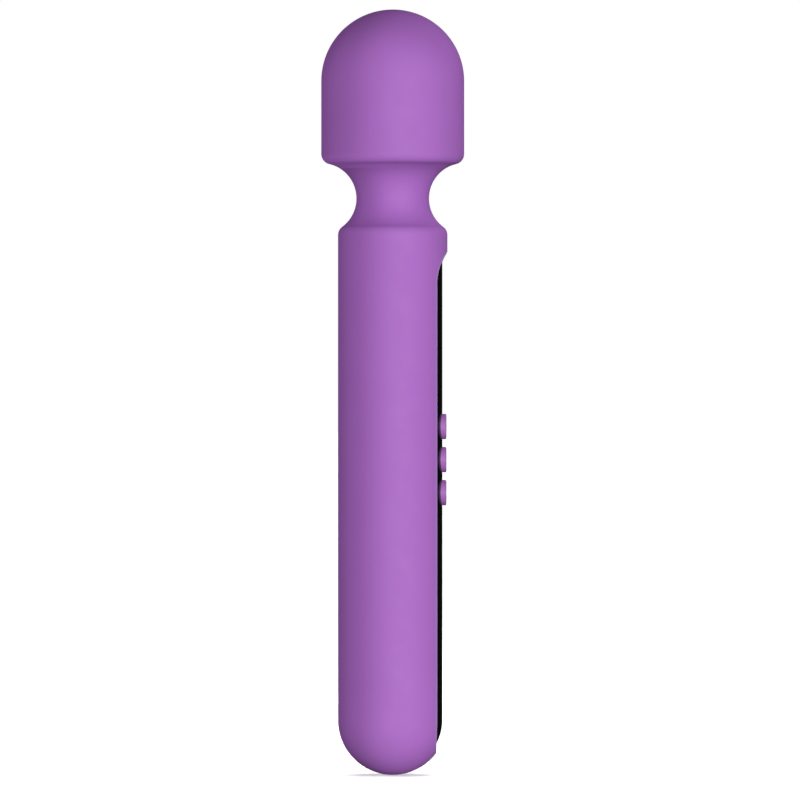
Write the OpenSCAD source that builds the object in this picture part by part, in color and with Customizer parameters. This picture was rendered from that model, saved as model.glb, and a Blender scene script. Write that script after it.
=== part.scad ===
// Rechargeable wand massager: silicone skin over a plastic housing, flexible neck, motor in the head.
// Millimetres. The wand stands along +Z, its butt touches z = 0 and its control panel faces +X.

/* [Overall] */
// Length from the butt to the top of the head
total_len = 235; // [215:1:260]
// Outer diameter of the handle
handle_d = 33.6; // [32.6:0.1:37]
// Outer diameter of the head
head_d = 43.9; // [42.6:0.1:48]

/* [Neck] */
// Diameter at the narrowest place of the neck
neck_d = 22.3; // [21.6:0.1:24]
// Height from the narrowest place of the neck to the top of the head
head_len = 58; // [56:0.5:64]
// Radius of the neck's hollow curve
neck_arc_r = 10.85; // [10:0.05:12]
// Radius of the rounded edges where handle and head meet the neck
edge_r = 3.1; // [2.6:0.1:3.4]
// Length of the flexible zone, above and below the narrowest place
flex_half = 9; // [8:0.5:9.5]
// Mean radius of the neck spring
spring_r = 6.3; // [6:0.1:6.5]
// Radius of the neck spring's wire
spring_wire_r = 0.7; // [0.5:0.1:0.8]
// Turns of the neck spring
spring_turns = 7; // [5:1:8]
// Radius of the passage for the motor leads
lead_hole_r = 5.2; // [4:0.1:5.4]

/* [Shells] */
// Thickness of the silicone skin on the handle and the neck
skin_t = 1.55; // [1.3:0.05:1.8]
// Thickness of the silicone cushion on the head
head_skin_t = 2.95; // [2.4:0.05:3.4]
// Wall of the handle housing
housing_wall = 2.2; // [2:0.1:2.6]
// Wall of the head's inner shell
head_wall = 2; // [1.6:0.1:2.4]
// Gap left between bonded shells
bond_gap = 0.05; // [0.02:0.01:0.1]

/* [Control panel] */
// Half width of the window in the skin
window_r = 9.37; // [8.6:0.01:9.8]
// Drop of the window's lower centre below the centre of the round butt
window_drop = 0.4; // [0:0.1:2]
// Drop of the window's upper centre below the narrowest place of the neck
window_neck_gap = 26; // [25:0.5:28]
// Thickness of the panel
panel_t = 1.2; // [1:0.05:1.4]
// Thickness of the tape under the panel
tape_t = 0.2; // [0.1:0.05:0.3]

/* [Buttons] */
// Diameter of a button
button_d = 7.8; // [7:0.1:8.2]
// Space between neighbouring buttons
button_space = 2.35; // [2.2:0.05:2.6]
// Drop of the middle button below the narrowest place of the neck
button_neck_gap = 80.2; // [78:0.1:83]
// Height of a button's face over the panel
button_proud = 1.25; // [1:0.05:1.45]
// Travel of a button
button_travel = 0.4; // [0.2:0.05:0.45]
// Rounding of a button's rim
button_rim_r = 0.45; // [0.3:0.05:0.6]
// Radial gap around a sliding piece
running_gap = 0.09; // [0.05:0.01:0.1]

/* [Power] */
// Diameter of the battery cell
cell_d = 18.3; // [16:0.1:18.6]
// Length of the battery cell
cell_len = 65; // [60:0.5:66]
// Height of the battery cell's lower end over the charging port's centre
cell_port_gap = 8.6; // [8.3:0.1:9.3]
// Radius of the charging plug's hole
jack_r = 1.3; // [1:0.05:1.5]
// Depth of the charging plug's hole
jack_depth = 9; // [8:0.5:9.5]
// Height of the charging port over the centre of the round butt
port_rise = 2.9; // [2.8:0.1:3.4]
// Radius of the hole in the skin over the port
port_r = 2.75; // [2.6:0.05:3]

/* [Motor] */
// Diameter of the motor
motor_d = 24.4; // [22:0.1:25]
// Length of the motor
motor_len = 25; // [22:0.5:25.5]
// Diameter of the motor shaft
shaft_d = 2; // [1.5:0.1:2.3]
// Radius of the eccentric weight
weight_r = 7.6; // [6:0.1:8]
// Height of the eccentric weight
weight_h = 4.8; // [3:0.1:5]

/* [Screws] */
// Shank radius of a housing screw
screw_r = 1; // [0.8:0.05:1.1]
// Head radius of a housing screw
screw_head_r = 1.8; // [1.6:0.05:1.9]
// Distance of a housing screw from the middle plane
screw_y = 5.5; // [5.3:0.1:5.6]

/* [Hidden] */
$fn = 96;

// Outline of the wand
handle_r = handle_d / 2;
head_r = head_d / 2;
butt_z = handle_r;
dome_z = total_len - head_r;
neck_z = total_len - head_len;
neck_arc_x = neck_d / 2 + neck_arc_r;
arc_reach = neck_arc_r + edge_r;
shoulder_x = handle_r - edge_r;
rim_x = head_r - edge_r;
shoulder_z = neck_z - sqrt(pow(arc_reach, 2) - pow(neck_arc_x - shoulder_x, 2));
rim_z = neck_z + sqrt(pow(arc_reach, 2) - pow(neck_arc_x - rim_x, 2));
flex_low_z = neck_z - flex_half;
flex_high_z = neck_z + flex_half;

// Handle housing
housing_inset = skin_t + bond_gap;
housing_top = flex_low_z - bond_gap;
cavity_r = handle_r - housing_inset - housing_wall;
crown_h = 12;
cavity_top = flex_low_z - crown_h;
panel_r = handle_r - skin_t;
tape_r = panel_r - panel_t;
pocket_r = tape_r - tape_t;

// Control stack, as distances from the axis of the handle
window_low_z = butt_z - window_drop;
window_high_z = neck_z - window_neck_gap;
button_r = button_d / 2;
button_pitch = button_d + button_space;
button_z = neck_z - button_neck_gap;
button_face_x = panel_r + button_proud;
mark_len = 3.2;
mark_w = 0.5;
mark_depth = 0.15;
flange_r = button_r + 0.7;
flange_t = 0.5;
flange_top = button_face_x - 3.6;
flange_bottom = flange_top - flange_t;
well_r = flange_r + 0.3;
seal_t = 0.3;
seal_top = flange_bottom - button_travel;
well_floor = seal_top - seal_t;
seat_x = well_floor - 1.1;
stem_r = 1.5;
stem_hole_r = stem_r + 0.4;
board_front = seat_x - 2.2;
board_t = 1;
board_back = board_front - board_t;
board_w = 19;
board_low_z = button_z - 20.8;
board_high_z = cavity_top - 8;
switch_w = 4.6;
switch_h = 1.5;
switch_front = board_front + switch_h;
plunger_r = 1;
plunger_front = switch_front + 0.5;
plunger_len = 1.1;
plunger_hole_len = plunger_len + button_travel;
standoff_r = 1.8;
standoff_y = 6.5;
standoff_root_x = seat_x + 0.5;
standoff_zs = [board_low_z + 3, board_high_z - 3];
board_screw_r = 0.7;
board_screw_head_r = 1.4;

// Screws and bosses
boss_r = screw_r + 1.4;
screw_zs = [butt_z - 3.8, board_high_z - 26, window_high_z + 2];
screw_head_x = seat_x - 1;
screw_head_h = 1.4;
screw_socket_r = 0.7;
screw_tip_x = -6;
screw_bore_x = screw_tip_x - 2;
screw_gap = 0.02;
screw_clearance = 0.15;
rib_t = 1.6;

// Battery
cell_r = cell_d / 2;
port_z = butt_z + port_rise;
cell_x = -(cavity_r - cell_r - 0.35);
cell_z = port_z + cell_port_gap;
cell_top = cell_z + cell_len;
nub_h = 0.7;
nub_r = 2.8;
tab_t = 0.2;
tab_gap = 0.05;
tab_w = 6;
tab_len = 9;
stop_t = 1.6;
stop_gap = 0.7;
stop_x = -6.2;
cradle_gap = 0.25;
pad_zs = [cell_z + 5.7, cell_z + 33.7];
pad_h = 8;
pad_t = 1;
pad_x = 1;
pad_y = 4.6;
pad_gap = 0.05;
wire_r = 0.5;

// Charging port
port_hinge_z = port_z + port_r - 0.35;
cover_r = port_r - 0.15;
cover_taper = 0.15;
cover_back_r = cover_r - cover_taper * (skin_t + 1);
notch_r = 0.6;
jack_body_r = jack_r + 1.1;
jack_flange_r = jack_body_r + 1.6;
jack_seat_r = jack_flange_r + 0.6;
jack_seat_x = -(cavity_r - 1);
jack_flange_x = jack_seat_x + 1;
jack_flange_t = 1.2;
o_ring_r = 0.48;
jack_mouth_x = -(handle_r - housing_inset - 0.3);
jack_end_x = jack_mouth_x + jack_depth + 1.4;
contact_y = 1.3;
contact_len = 1.5;

// Neck
base_flange_r = 12;
base_flange_h = 2.5;
base_flange_z = cavity_top + 2;
base_r = 8.5;
crown_hole_r = base_r + 0.5;
spring_seat_r = spring_r + spring_wire_r + 0.3;
spring_low_z = flex_low_z - 4;
cap_r = 12.5;
cap_h = 4;
cap_top = flex_high_z + cap_h;
spring_high_z = cap_top - 1.4;
bush_inner_r = spring_seat_r + 0.2;
ring_half = 1.6;
cap_screw_ring_r = 10.3;
cap_screw_r = 0.9;
cap_screw_head_r = cap_screw_r * 1.8;
cap_screw_head_h = 1.2;

// Head and motor
head_shell_r = head_r - head_skin_t - bond_gap;
head_cavity_r = head_shell_r - head_wall;
head_floor = cap_top + head_wall;
head_split_z = dome_z - 5;
lap_h = 3;
lap_gap = 0.1;
lap_r = head_cavity_r + head_wall / 2;
motor_r = motor_d / 2;
motor_z = head_floor + 4.3;
motor_top = motor_z + motor_len;
motor_cap_h = 2.6;
can_t = 0.8;
motor_boss_h = 0.8;
bush_r = 2.5;
motor_boss_r = bush_r + 0.8;
bush_h = 2;
shaft_r = shaft_d / 2;
weight_z = motor_top + motor_boss_h + 0.3;
isolator_h = 5;
magnet_t = 1.7;
magnet_len = motor_len - motor_cap_h - 5;
magnet_half_w = 7;
armature_r = motor_r - can_t - magnet_t - 0.7;
armature_z = motor_z + motor_cap_h + 0.6;
stack_len = motor_len - 15;
winding_len = motor_len - 11.8;
commutator_r = 3;
commutator_h = 3;
terminal_y = 6;
terminal_h = 2.7;
hub_r = shaft_r + 1.4;

// Routes of the leads: between cell and board, between jack and board, and up to the motor
lead_x = (cell_x + cell_r + board_back) / 2;
lead_end_x = board_back - 0.8;
battery_negative_route = [
    [1, -2, cell_z - 0.9], [4.5, -2.6, cell_z - 1.3], [lead_x - 0.3, -3.2, cell_z - 0.7],
    [lead_x, -3.4, cell_z + 2], [lead_x, -3.4, cell_z + 22], [lead_x, -3.4, board_low_z - 2],
    [lead_end_x, -3.4, board_low_z + 2.5]
];
battery_positive_route = [
    [1, 2, cell_top + 0.9], [4, 2.6, cell_top + 1.7], [lead_end_x - 0.4, 3.4, cell_top + 4.7],
    [lead_end_x, 3.4, max(cell_top + 8.7, board_low_z + 4)]
];
jack_positive_route = [
    [jack_end_x + 1.8, contact_y, port_z], [1, contact_y, port_z + 0.2], [5, contact_y, port_z + 2.3],
    [lead_x, contact_y, cell_z - 1.3], [lead_x, contact_y, cell_z + 22], [lead_x, contact_y, board_low_z - 2],
    [lead_end_x, contact_y, board_low_z + 2.5]
];
motor_positive_route = [
    [0, 5.2, motor_z - 2.4], [0, 3, head_floor + 0.6], [0, 1.4, cap_top], [0, 1.4, neck_z],
    [0, 1.4, cavity_top + 4], [3.5, 2.4, cavity_top - 3], [lead_end_x, 3, board_high_z - 1],
    [lead_end_x, 3, board_high_z - 5]
];

// Body outline, set in from the outside by one thickness
module body_profile(inset) {
    intersection() {
        square([head_r + 2, total_len]);
        union() {
            translate([0, butt_z]) circle(r = handle_r - inset);
            translate([0, butt_z]) square([handle_r - inset, shoulder_z - butt_z]);
            difference() {
                polygon([
                    [0, shoulder_z], [shoulder_x, shoulder_z], [neck_arc_x, neck_z],
                    [rim_x, rim_z], [0, rim_z]
                ]);
                translate([neck_arc_x, neck_z]) circle(r = neck_arc_r + inset);
            }
            translate([shoulder_x, shoulder_z]) circle(r = edge_r - inset);
            translate([rim_x, rim_z]) circle(r = edge_r - inset);
            translate([0, rim_z]) square([head_r - inset, dome_z - rim_z]);
            translate([0, dome_z]) circle(r = head_r - inset);
        }
    }
}

// The part of the body outline between two heights, turned round the axis
module body_solid(inset, low, high) {
    rotate_extrude() intersection() {
        body_profile(inset);
        translate([0, low]) square([head_r + 2, high - low]);
    }
}

// Skin between two heights
module skin(low, high) {
    rotate_extrude() intersection() {
        difference() {
            body_profile(0);
            body_profile(skin_t);
        }
        translate([0, low]) square([head_r + 2, high - low]);
    }
}

// Round-ended column that follows the handle and the butt, open at the top
module handle_core(radius, top) {
    rotate_extrude() intersection() {
        square([radius + 1, top]);
        union() {
            translate([0, butt_z]) circle(r = radius);
            translate([0, butt_z]) square([radius, top - butt_z]);
        }
    }
}

// Rod along +X from one distance to another
module rod_x(x0, x1, y, z, r) {
    translate([x0, y, z]) rotate([0, 90, 0]) cylinder(r = r, h = x1 - x0);
}

// Window outline with round ends, pushed out along +X
module window_prism(r) {
    rotate([90, 0, 90]) linear_extrude(handle_d) union() {
        translate([0, window_low_z]) circle(r = r);
        translate([0, window_high_z]) circle(r = r);
        translate([-r, window_low_z]) square([2 * r, window_high_z - window_low_z]);
    }
}

// Half space in front of (side = 1) or behind (side = -1) the parting plane
module half_space(side) {
    translate([side > 0 ? 0 : -handle_d, -handle_d, -1]) cube([handle_d, 2 * handle_d, total_len]);
}

// Corners of a route cut off twice, so that a wire bends smoothly
function soften(p) = concat(
    [p[0]],
    [for (i = [0:len(p) - 2]) each [p[i] * 0.75 + p[i + 1] * 0.25, p[i] * 0.25 + p[i + 1] * 0.75]],
    [p[len(p) - 1]]
);
function unit(v) = v / norm(v);
function heading(p, i) = unit(p[min(i + 1, len(p) - 1)] - p[max(i - 1, 0)]);

// Round tube swept along points; side_dir is never along the route
module sweep(p, r, sides, side_dir) {
    n = len(p);
    rings = [for (i = [0:n - 1])
        let (t = heading(p, i), u = unit(cross(t, side_dir)), v = cross(t, u))
            for (k = [0:sides - 1]) p[i] + r * (cos(360 * k / sides) * u + sin(360 * k / sides) * v)];
    walls = [for (i = [0:n - 2]) for (k = [0:sides - 1])
        let (a = i * sides + k, b = i * sides + (k + 1) % sides)
            each [[a, a + sides, b + sides], [a, b + sides, b]]];
    ends = [[for (k = [0:sides - 1]) k], [for (k = [sides - 1:-1:0]) (n - 1) * sides + k]];
    polyhedron(points = rings, faces = concat(ends, walls), convexity = 10);
}

// Soft insulated lead along a route chosen by hand
module lead(route, side_dir) {
    sweep(soften(soften(route)), wire_r, 8, side_dir);
}

// ---- Skin ----

// Its turned surface closes on a line beside the window, where the wall is whole
module handle_skin() {
    color("#AE73C8") difference() {
        rotate([0, 0, -67.5]) skin(-1, flex_low_z);
        window_prism(window_r);
        rod_x(-handle_d, -cavity_r, 0, port_z, port_r);
    }
}

module neck_skin_lower() {
    color("#AE73C8") skin(flex_low_z, neck_z);
}

module neck_skin_upper() {
    color("#AE73C8") skin(neck_z, flex_high_z);
}

// Thick cushion over the head's inner shell
module head_skin() {
    color("#AE73C8") rotate_extrude() difference() {
        intersection() {
            body_profile(0);
            translate([0, flex_high_z]) square([head_r + 2, total_len]);
        }
        translate([0, flex_high_z - 1]) square([cap_r + bond_gap, cap_h + 1.5]);
        translate([0, cap_top - bond_gap]) square([head_r - head_skin_t, dome_z - cap_top + bond_gap]);
        translate([0, dome_z]) circle(r = head_r - head_skin_t);
    }
}

// ---- Handle housing ----

// Housing wall with its crown, before it is parted
module housing_body() {
    difference() {
        body_solid(housing_inset, -1, housing_top);
        intersection() {
            handle_core(cavity_r, cavity_top);
            translate([-handle_d, -handle_d, 0]) cube([handle_d + seat_x, 2 * handle_d, total_len]);
        }
        translate([0, 0, cavity_top - 1]) cylinder(r = crown_hole_r, h = base_flange_z - cavity_top + 2);
        translate([0, 0, base_flange_z])
            cylinder(r = base_flange_r + bond_gap, h = base_flange_h + 2 * bond_gap);
        translate([0, 0, base_flange_z + base_flange_h]) cylinder(r = base_r + bond_gap, h = crown_h);
    }
}

module at_screws() {
    for (z = screw_zs, s = [-1, 1]) translate([0, s * screw_y, z]) children();
}

module front_housing() {
    color("#3A3A40") difference() {
        union() {
            intersection() {
                housing_body();
                half_space(1);
            }
            // Screw bosses, cut to the outside of the housing
            intersection() {
                at_screws() rotate([0, 90, 0]) cylinder(r = boss_r, h = seat_x + 1);
                handle_core(cavity_r + 1, cavity_top);
            }
            // Standoffs that carry the board
            for (z = standoff_zs, s = [-1, 1])
                rod_x(board_front, standoff_root_x, s * standoff_y, z, standoff_r);
            // Fins that press the foam pads on to the cell
            for (z = pad_zs, s = [-1, 1]) intersection() {
                handle_core(cavity_r + 0.5, cavity_top);
                difference() {
                    translate([pad_x, s > 0 ? pad_y : -handle_r, z + (pad_h - rib_t) / 2])
                        cube([handle_r, handle_r - pad_y, rib_t]);
                    translate([cell_x, 0, z]) cylinder(r = cell_r + pad_t + 3 * pad_gap, h = pad_h);
                }
            }
        }
        // Pocket for the panel and its tape
        difference() {
            window_prism(window_r - bond_gap);
            handle_core(pocket_r, total_len);
        }
        for (k = [-1:1]) {
            rod_x(well_floor, handle_d, 0, button_z + k * button_pitch, well_r);
            rod_x(seat_x - 1, handle_d, 0, button_z + k * button_pitch, stem_hole_r);
        }
        at_screws() rotate([0, 90, 0]) {
            translate([0, 0, -1]) cylinder(r = screw_r + screw_clearance, h = handle_r);
            translate([0, 0, screw_head_x]) cylinder(r = screw_head_r + screw_clearance, h = handle_r);
        }
        for (z = standoff_zs, s = [-1, 1])
            rod_x(board_front - 1, standoff_root_x - 0.1, s * standoff_y, z, board_screw_r + screw_gap);
    }
}

module rear_housing() {
    color("#3A3A40") difference() {
        union() {
            intersection() {
                housing_body();
                half_space(-1);
            }
            intersection() {
                at_screws() rotate([0, -90, 0]) cylinder(r = boss_r, h = handle_r);
                handle_core(cavity_r + 1, cavity_top);
            }
            // Cradles under the cell
            for (z = pad_zs) intersection() {
                handle_core(cavity_r + 0.5, cavity_top);
                difference() {
                    translate([-handle_r, -handle_r, z + (pad_h - rib_t) / 2])
                        cube([handle_r - 0.5, handle_d, rib_t]);
                    translate([cell_x, 0, z]) cylinder(r = cell_r + cradle_gap, h = pad_h);
                }
            }
            // Stops at both ends of the cell
            for (z = [cell_z - 2 * tab_gap - tab_t - stop_t, cell_top + stop_gap]) intersection() {
                handle_core(cavity_r + 0.5, cavity_top);
                translate([-handle_r, -handle_r, z]) cube([handle_r + stop_x, handle_d, stop_t]);
            }
            // Flat seat for the charging jack
            intersection() {
                rod_x(-handle_r, jack_seat_x, 0, port_z, jack_seat_r);
                handle_core(cavity_r + 1, cavity_top);
            }
        }
        at_screws() rotate([0, -90, 0]) translate([0, 0, -1])
            cylinder(r = screw_r + screw_gap, h = 1 - screw_bore_x);
        rod_x(-handle_d, 0, 0, port_z, jack_body_r + bond_gap);
    }
}

module housing_screws() {
    color("silver") at_screws() rotate([0, 90, 0]) {
        translate([0, 0, screw_tip_x]) cylinder(r = screw_r, h = screw_head_x - screw_tip_x + 0.1);
        difference() {
            translate([0, 0, screw_head_x]) cylinder(r = screw_head_r, h = screw_head_h);
            translate([0, 0, screw_head_x + screw_head_h / 2])
                cylinder(r = screw_socket_r, h = screw_head_h, $fn = 6);
        }
    }
}

// ---- Control panel and buttons ----

module control_panel() {
    color("#0B0B0D") difference() {
        intersection() {
            window_prism(window_r - 2 * bond_gap);
            difference() {
                handle_core(panel_r, total_len);
                handle_core(tape_r, total_len);
            }
        }
        for (k = [-1:1]) rod_x(0, handle_d, 0, button_z + k * button_pitch, button_r + running_gap);
    }
}

module panel_tape() {
    color("#D8D8D0") difference() {
        intersection() {
            window_prism(window_r - 0.5);
            difference() {
                handle_core(tape_r - 0.01, total_len);
                handle_core(pocket_r + 0.01, total_len);
            }
        }
        for (k = [-1:1]) rod_x(0, handle_d, 0, button_z + k * button_pitch, well_r);
        at_screws() rotate([0, 90, 0]) cylinder(r = screw_head_r + 2 * screw_clearance, h = handle_r);
    }
}

// Rounded cap, retaining flange and stem of one button, along +X
module button_body() {
    rotate([0, 90, 0]) rotate_extrude() union() {
        translate([0, flange_top - 0.1]) square([button_r, button_face_x - button_rim_r - flange_top + 0.1]);
        translate([0, flange_top]) square([button_r - button_rim_r, button_face_x - flange_top]);
        intersection() {
            translate([button_r - button_rim_r, button_face_x - button_rim_r]) circle(r = button_rim_r);
            translate([0, button_face_x - button_rim_r]) square([button_r, button_rim_r]);
        }
        translate([0, flange_bottom]) square([flange_r, flange_t]);
        translate([0, plunger_front]) square([stem_r, flange_bottom - plunger_front + 0.1]);
    }
}

// Shallow engraved bar on a button's face
module mark_bar(w, h) {
    translate([button_face_x - mark_depth, -w / 2, -h / 2]) cube([1, w, h]);
}

module button_plus() {
    color("#AE73C8") translate([0, 0, button_z + button_pitch]) difference() {
        button_body();
        mark_bar(mark_len, mark_w);
        mark_bar(mark_w, mark_len);
    }
}

module button_power() {
    color("#AE73C8") translate([0, 0, button_z]) difference() {
        button_body();
        difference() {
            rod_x(button_face_x - mark_depth, button_face_x + 1, 0, 0, mark_len / 2);
            rod_x(button_face_x - 1, button_face_x + 2, 0, 0, mark_len / 2 - mark_w);
        }
    }
}

module button_minus() {
    color("#AE73C8") translate([0, 0, button_z - button_pitch]) difference() {
        button_body();
        mark_bar(mark_len, mark_w);
    }
}

module button_seals() {
    color("#5A5A60") for (k = [-1:1]) difference() {
        rod_x(well_floor, seal_top, 0, button_z + k * button_pitch, well_r - 0.1);
        rod_x(well_floor - 1, seal_top + 1, 0, button_z + k * button_pitch, stem_r + running_gap);
    }
}

module plunger(k) {
    color("#E8E4DA")
        rod_x(plunger_front - plunger_len, plunger_front, 0, button_z + k * button_pitch, plunger_r);
}

module tact_switches() {
    color("#1E1E20") for (k = [-1:1]) difference() {
        translate([board_front, -switch_w / 2, button_z + k * button_pitch - switch_w / 2])
            cube([switch_h, switch_w, switch_w]);
        rod_x(plunger_front - plunger_hole_len - 0.05, plunger_front, 0, button_z + k * button_pitch,
            plunger_r + running_gap);
    }
}

// ---- Circuit board ----

module main_board() {
    color("#1F6B3A") difference() {
        translate([board_back, -board_w / 2, board_low_z])
            cube([board_t, board_w, board_high_z - board_low_z]);
        for (s = [-1, 1]) rod_x(0, handle_r, s * screw_y, screw_zs[1], boss_r + 0.3);
        for (z = standoff_zs, s = [-1, 1]) rod_x(0, handle_r, s * standoff_y, z, board_screw_r + 0.1);
    }
}

module board_chips() {
    color("#222224") {
        translate([board_back - 1.3, -3.5, board_high_z - 41.5]) cube([1.3, 7, 7]);
        translate([board_back - 0.9, -6.5, board_high_z - 20]) cube([0.9, 5, 4]);
        rod_x(board_back - 2, board_back, 4, board_high_z - 16, 2.5);
    }
}

module status_led() {
    color("#F4F4E8") translate([board_front, -0.8, board_low_z + 3]) cube([0.8, 1.6, 0.8]);
}

module board_screws() {
    color("silver") for (z = standoff_zs, s = [-1, 1]) {
        rod_x(board_back - 1, board_back, s * standoff_y, z, board_screw_head_r);
        rod_x(board_back - 0.1, seat_x, s * standoff_y, z, board_screw_r);
    }
}

// ---- Battery ----

module battery_cell() {
    color("#2E7FBF") translate([cell_x, 0, cell_z]) {
        cylinder(r = cell_r, h = cell_len - nub_h);
        cylinder(r = nub_r, h = cell_len);
    }
}

module battery_tabs() {
    color("#C8C8C0") for (z = [cell_z - tab_gap - tab_t, cell_top + tab_gap])
        translate([stop_x + 0.2, -tab_w / 2, z]) cube([tab_len, tab_w, tab_t]);
}

module battery_pads() {
    color("#4A4A4A") for (z = pad_zs, s = [-1, 1]) intersection() {
        translate([cell_x, 0, z]) difference() {
            cylinder(r = cell_r + pad_gap + pad_t, h = pad_h);
            translate([0, 0, -1]) cylinder(r = cell_r + pad_gap, h = pad_h + 2);
        }
        translate([pad_x, s > 0 ? pad_y : -handle_r, 0]) cube([handle_r, handle_r - pad_y, total_len]);
    }
}

module battery_lead_positive() {
    color("red") lead(battery_positive_route, [0, 1, 0]);
}

module battery_lead_negative() {
    color("#202020") lead(battery_negative_route, [0, 1, 0]);
}

// ---- Charging port ----

// Flush silicone flap; its hinge line is the upper edge of its outer face
module port_cover() {
    color("#AE73C8") difference() {
        intersection() {
            translate([-handle_r - 1, 0, port_z]) rotate([0, 90, 0])
                cylinder(r1 = cover_r + cover_taper, r2 = cover_back_r, h = skin_t + 2);
            difference() {
                cylinder(r = handle_r, h = 2 * port_z);
                translate([0, 0, -1]) cylinder(r = panel_r + 0.1, h = 2 * port_z + 2);
            }
            translate([-handle_d, -handle_r, 0]) cube([handle_d, handle_d, port_hinge_z - 0.02]);
        }
        // Notch for a fingernail
        rod_x(-handle_d, -panel_r - notch_r, 0, port_z - port_r, notch_r);
    }
}

module charge_jack() {
    color("#18181A") difference() {
        union() {
            rod_x(jack_mouth_x, jack_end_x, 0, port_z, jack_body_r);
            rod_x(jack_flange_x, jack_flange_x + jack_flange_t, 0, port_z, jack_flange_r);
        }
        rod_x(jack_mouth_x - 1, jack_mouth_x + jack_depth, 0, port_z, jack_r);
    }
}

module jack_contacts() {
    color("gold") for (s = [-1, 1])
        translate([jack_end_x, s * contact_y - 0.4, port_z - 1]) cube([contact_len, 0.8, 2]);
}

module jack_o_ring() {
    color("#303030") translate([jack_seat_x + 0.5, 0, port_z]) rotate([0, 90, 0]) rotate_extrude()
        translate([jack_body_r + o_ring_r + 0.03, 0]) circle(r = o_ring_r, $fn = 32);
}

module jack_lead_positive() {
    color("red") lead(jack_positive_route, [0, 1, 0]);
}

module jack_lead_negative() {
    color("#202020") mirror([0, 1, 0]) lead(jack_positive_route, [0, 1, 0]);
}

// ---- Neck ----

module neck_base() {
    color("#3A3A40") difference() {
        union() {
            translate([0, 0, base_flange_z + bond_gap]) cylinder(r = base_flange_r, h = base_flange_h);
            translate([0, 0, base_flange_z + bond_gap])
                cylinder(r = base_r, h = housing_top - base_flange_z - bond_gap);
        }
        translate([0, 0, base_flange_z - 1]) cylinder(r = lead_hole_r, h = crown_h + 2);
        translate([0, 0, spring_low_z]) cylinder(r = spring_seat_r, h = crown_h);
    }
}

module neck_spring() {
    steps = 14;
    low = spring_low_z + spring_wire_r + bond_gap;
    high = spring_high_z - spring_wire_r - bond_gap;
    count = spring_turns * steps;
    helix = [for (i = [0:count])
        [spring_r * cos(360 * i / steps), spring_r * sin(360 * i / steps), low + (high - low) * i / count]];
    color("silver") sweep(helix, spring_wire_r, 6, [0, 0, 1]);
}

// Soft filling between the spring and the skin
module neck_filling(low, high) {
    difference() {
        body_solid(skin_t + bond_gap, low, high);
        translate([0, 0, low - 1]) cylinder(r = bush_inner_r, h = high - low + 2);
    }
}

module neck_bush_lower() {
    color("#8C8C90") neck_filling(flex_low_z + bond_gap, neck_z - ring_half - bond_gap);
}

module neck_ring() {
    color("#3A3A40") neck_filling(neck_z - ring_half, neck_z + ring_half);
}

module neck_bush_upper() {
    color("#8C8C90") neck_filling(neck_z + ring_half + bond_gap, flex_high_z - bond_gap);
}

module at_cap_screws() {
    for (a = [0, 120, 240]) rotate([0, 0, a]) translate([cap_screw_ring_r, 0, 0]) children();
}

module neck_cap() {
    color("#3A3A40") difference() {
        translate([0, 0, flex_high_z]) cylinder(r = cap_r, h = cap_h);
        translate([0, 0, flex_high_z - 1]) cylinder(r = lead_hole_r, h = cap_h + 2);
        translate([0, 0, flex_high_z - 1]) cylinder(r = spring_seat_r, h = spring_high_z - flex_high_z + 1);
        at_cap_screws() translate([0, 0, flex_high_z + 1]) cylinder(r = cap_screw_r + screw_gap, h = cap_h);
    }
}

module neck_cap_screws() {
    color("silver") at_cap_screws() {
        translate([0, 0, flex_high_z + 1.2]) cylinder(r = cap_screw_r, h = head_floor - flex_high_z - 1.1);
        translate([0, 0, head_floor]) cylinder(r = cap_screw_head_r, h = cap_screw_head_h);
    }
}

// ---- Head ----

module head_core(radius, low, high) {
    rotate_extrude() intersection() {
        translate([0, low]) square([radius + 1, high - low]);
        union() {
            translate([0, low]) square([radius, dome_z - low]);
            translate([0, dome_z]) circle(r = radius);
        }
    }
}

module head_shell_lower() {
    color("#3A3A40") difference() {
        union() {
            head_core(head_shell_r, cap_top, head_split_z);
            translate([0, 0, head_split_z - 1]) cylinder(r = lap_r - lap_gap, h = lap_h + 1);
        }
        translate([0, 0, head_floor]) cylinder(r = head_cavity_r, h = total_len);
        translate([0, 0, cap_top - 1]) cylinder(r = lead_hole_r, h = head_wall + 2);
        at_cap_screws() translate([0, 0, cap_top - 1]) cylinder(r = cap_screw_r + 0.1, h = head_wall + 2);
    }
}

module head_shell_upper() {
    color("#3A3A40") difference() {
        head_core(head_shell_r, head_split_z, total_len);
        head_core(head_cavity_r, head_split_z - 1, total_len);
        translate([0, 0, head_split_z - 1]) cylinder(r = lap_r, h = lap_h + 1 + lap_gap);
    }
}

// Rubber ring between the motor and the head's shell
module isolator(z) {
    intersection() {
        difference() {
            translate([0, 0, z]) cylinder(r = head_cavity_r - bond_gap, h = isolator_h);
            translate([0, 0, z - 1]) cylinder(r = motor_r + bond_gap, h = isolator_h + 2);
        }
        head_core(head_cavity_r - bond_gap, head_floor, total_len);
    }
}

module motor_isolator_lower() {
    color("#505055") isolator(motor_z + 2);
}

module motor_isolator_upper() {
    color("#505055") isolator(motor_top - 2 - isolator_h);
}

module motor_can() {
    color("#B8B8BC") difference() {
        union() {
            translate([0, 0, motor_z + motor_cap_h]) cylinder(r = motor_r, h = motor_len - motor_cap_h);
            translate([0, 0, motor_top - 0.1]) cylinder(r = motor_boss_r, h = motor_boss_h + 0.1);
        }
        translate([0, 0, motor_z]) cylinder(r = motor_r - can_t, h = motor_len - can_t);
        translate([0, 0, motor_z]) cylinder(r = bush_r + screw_gap, h = motor_len + 2);
    }
}

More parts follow.
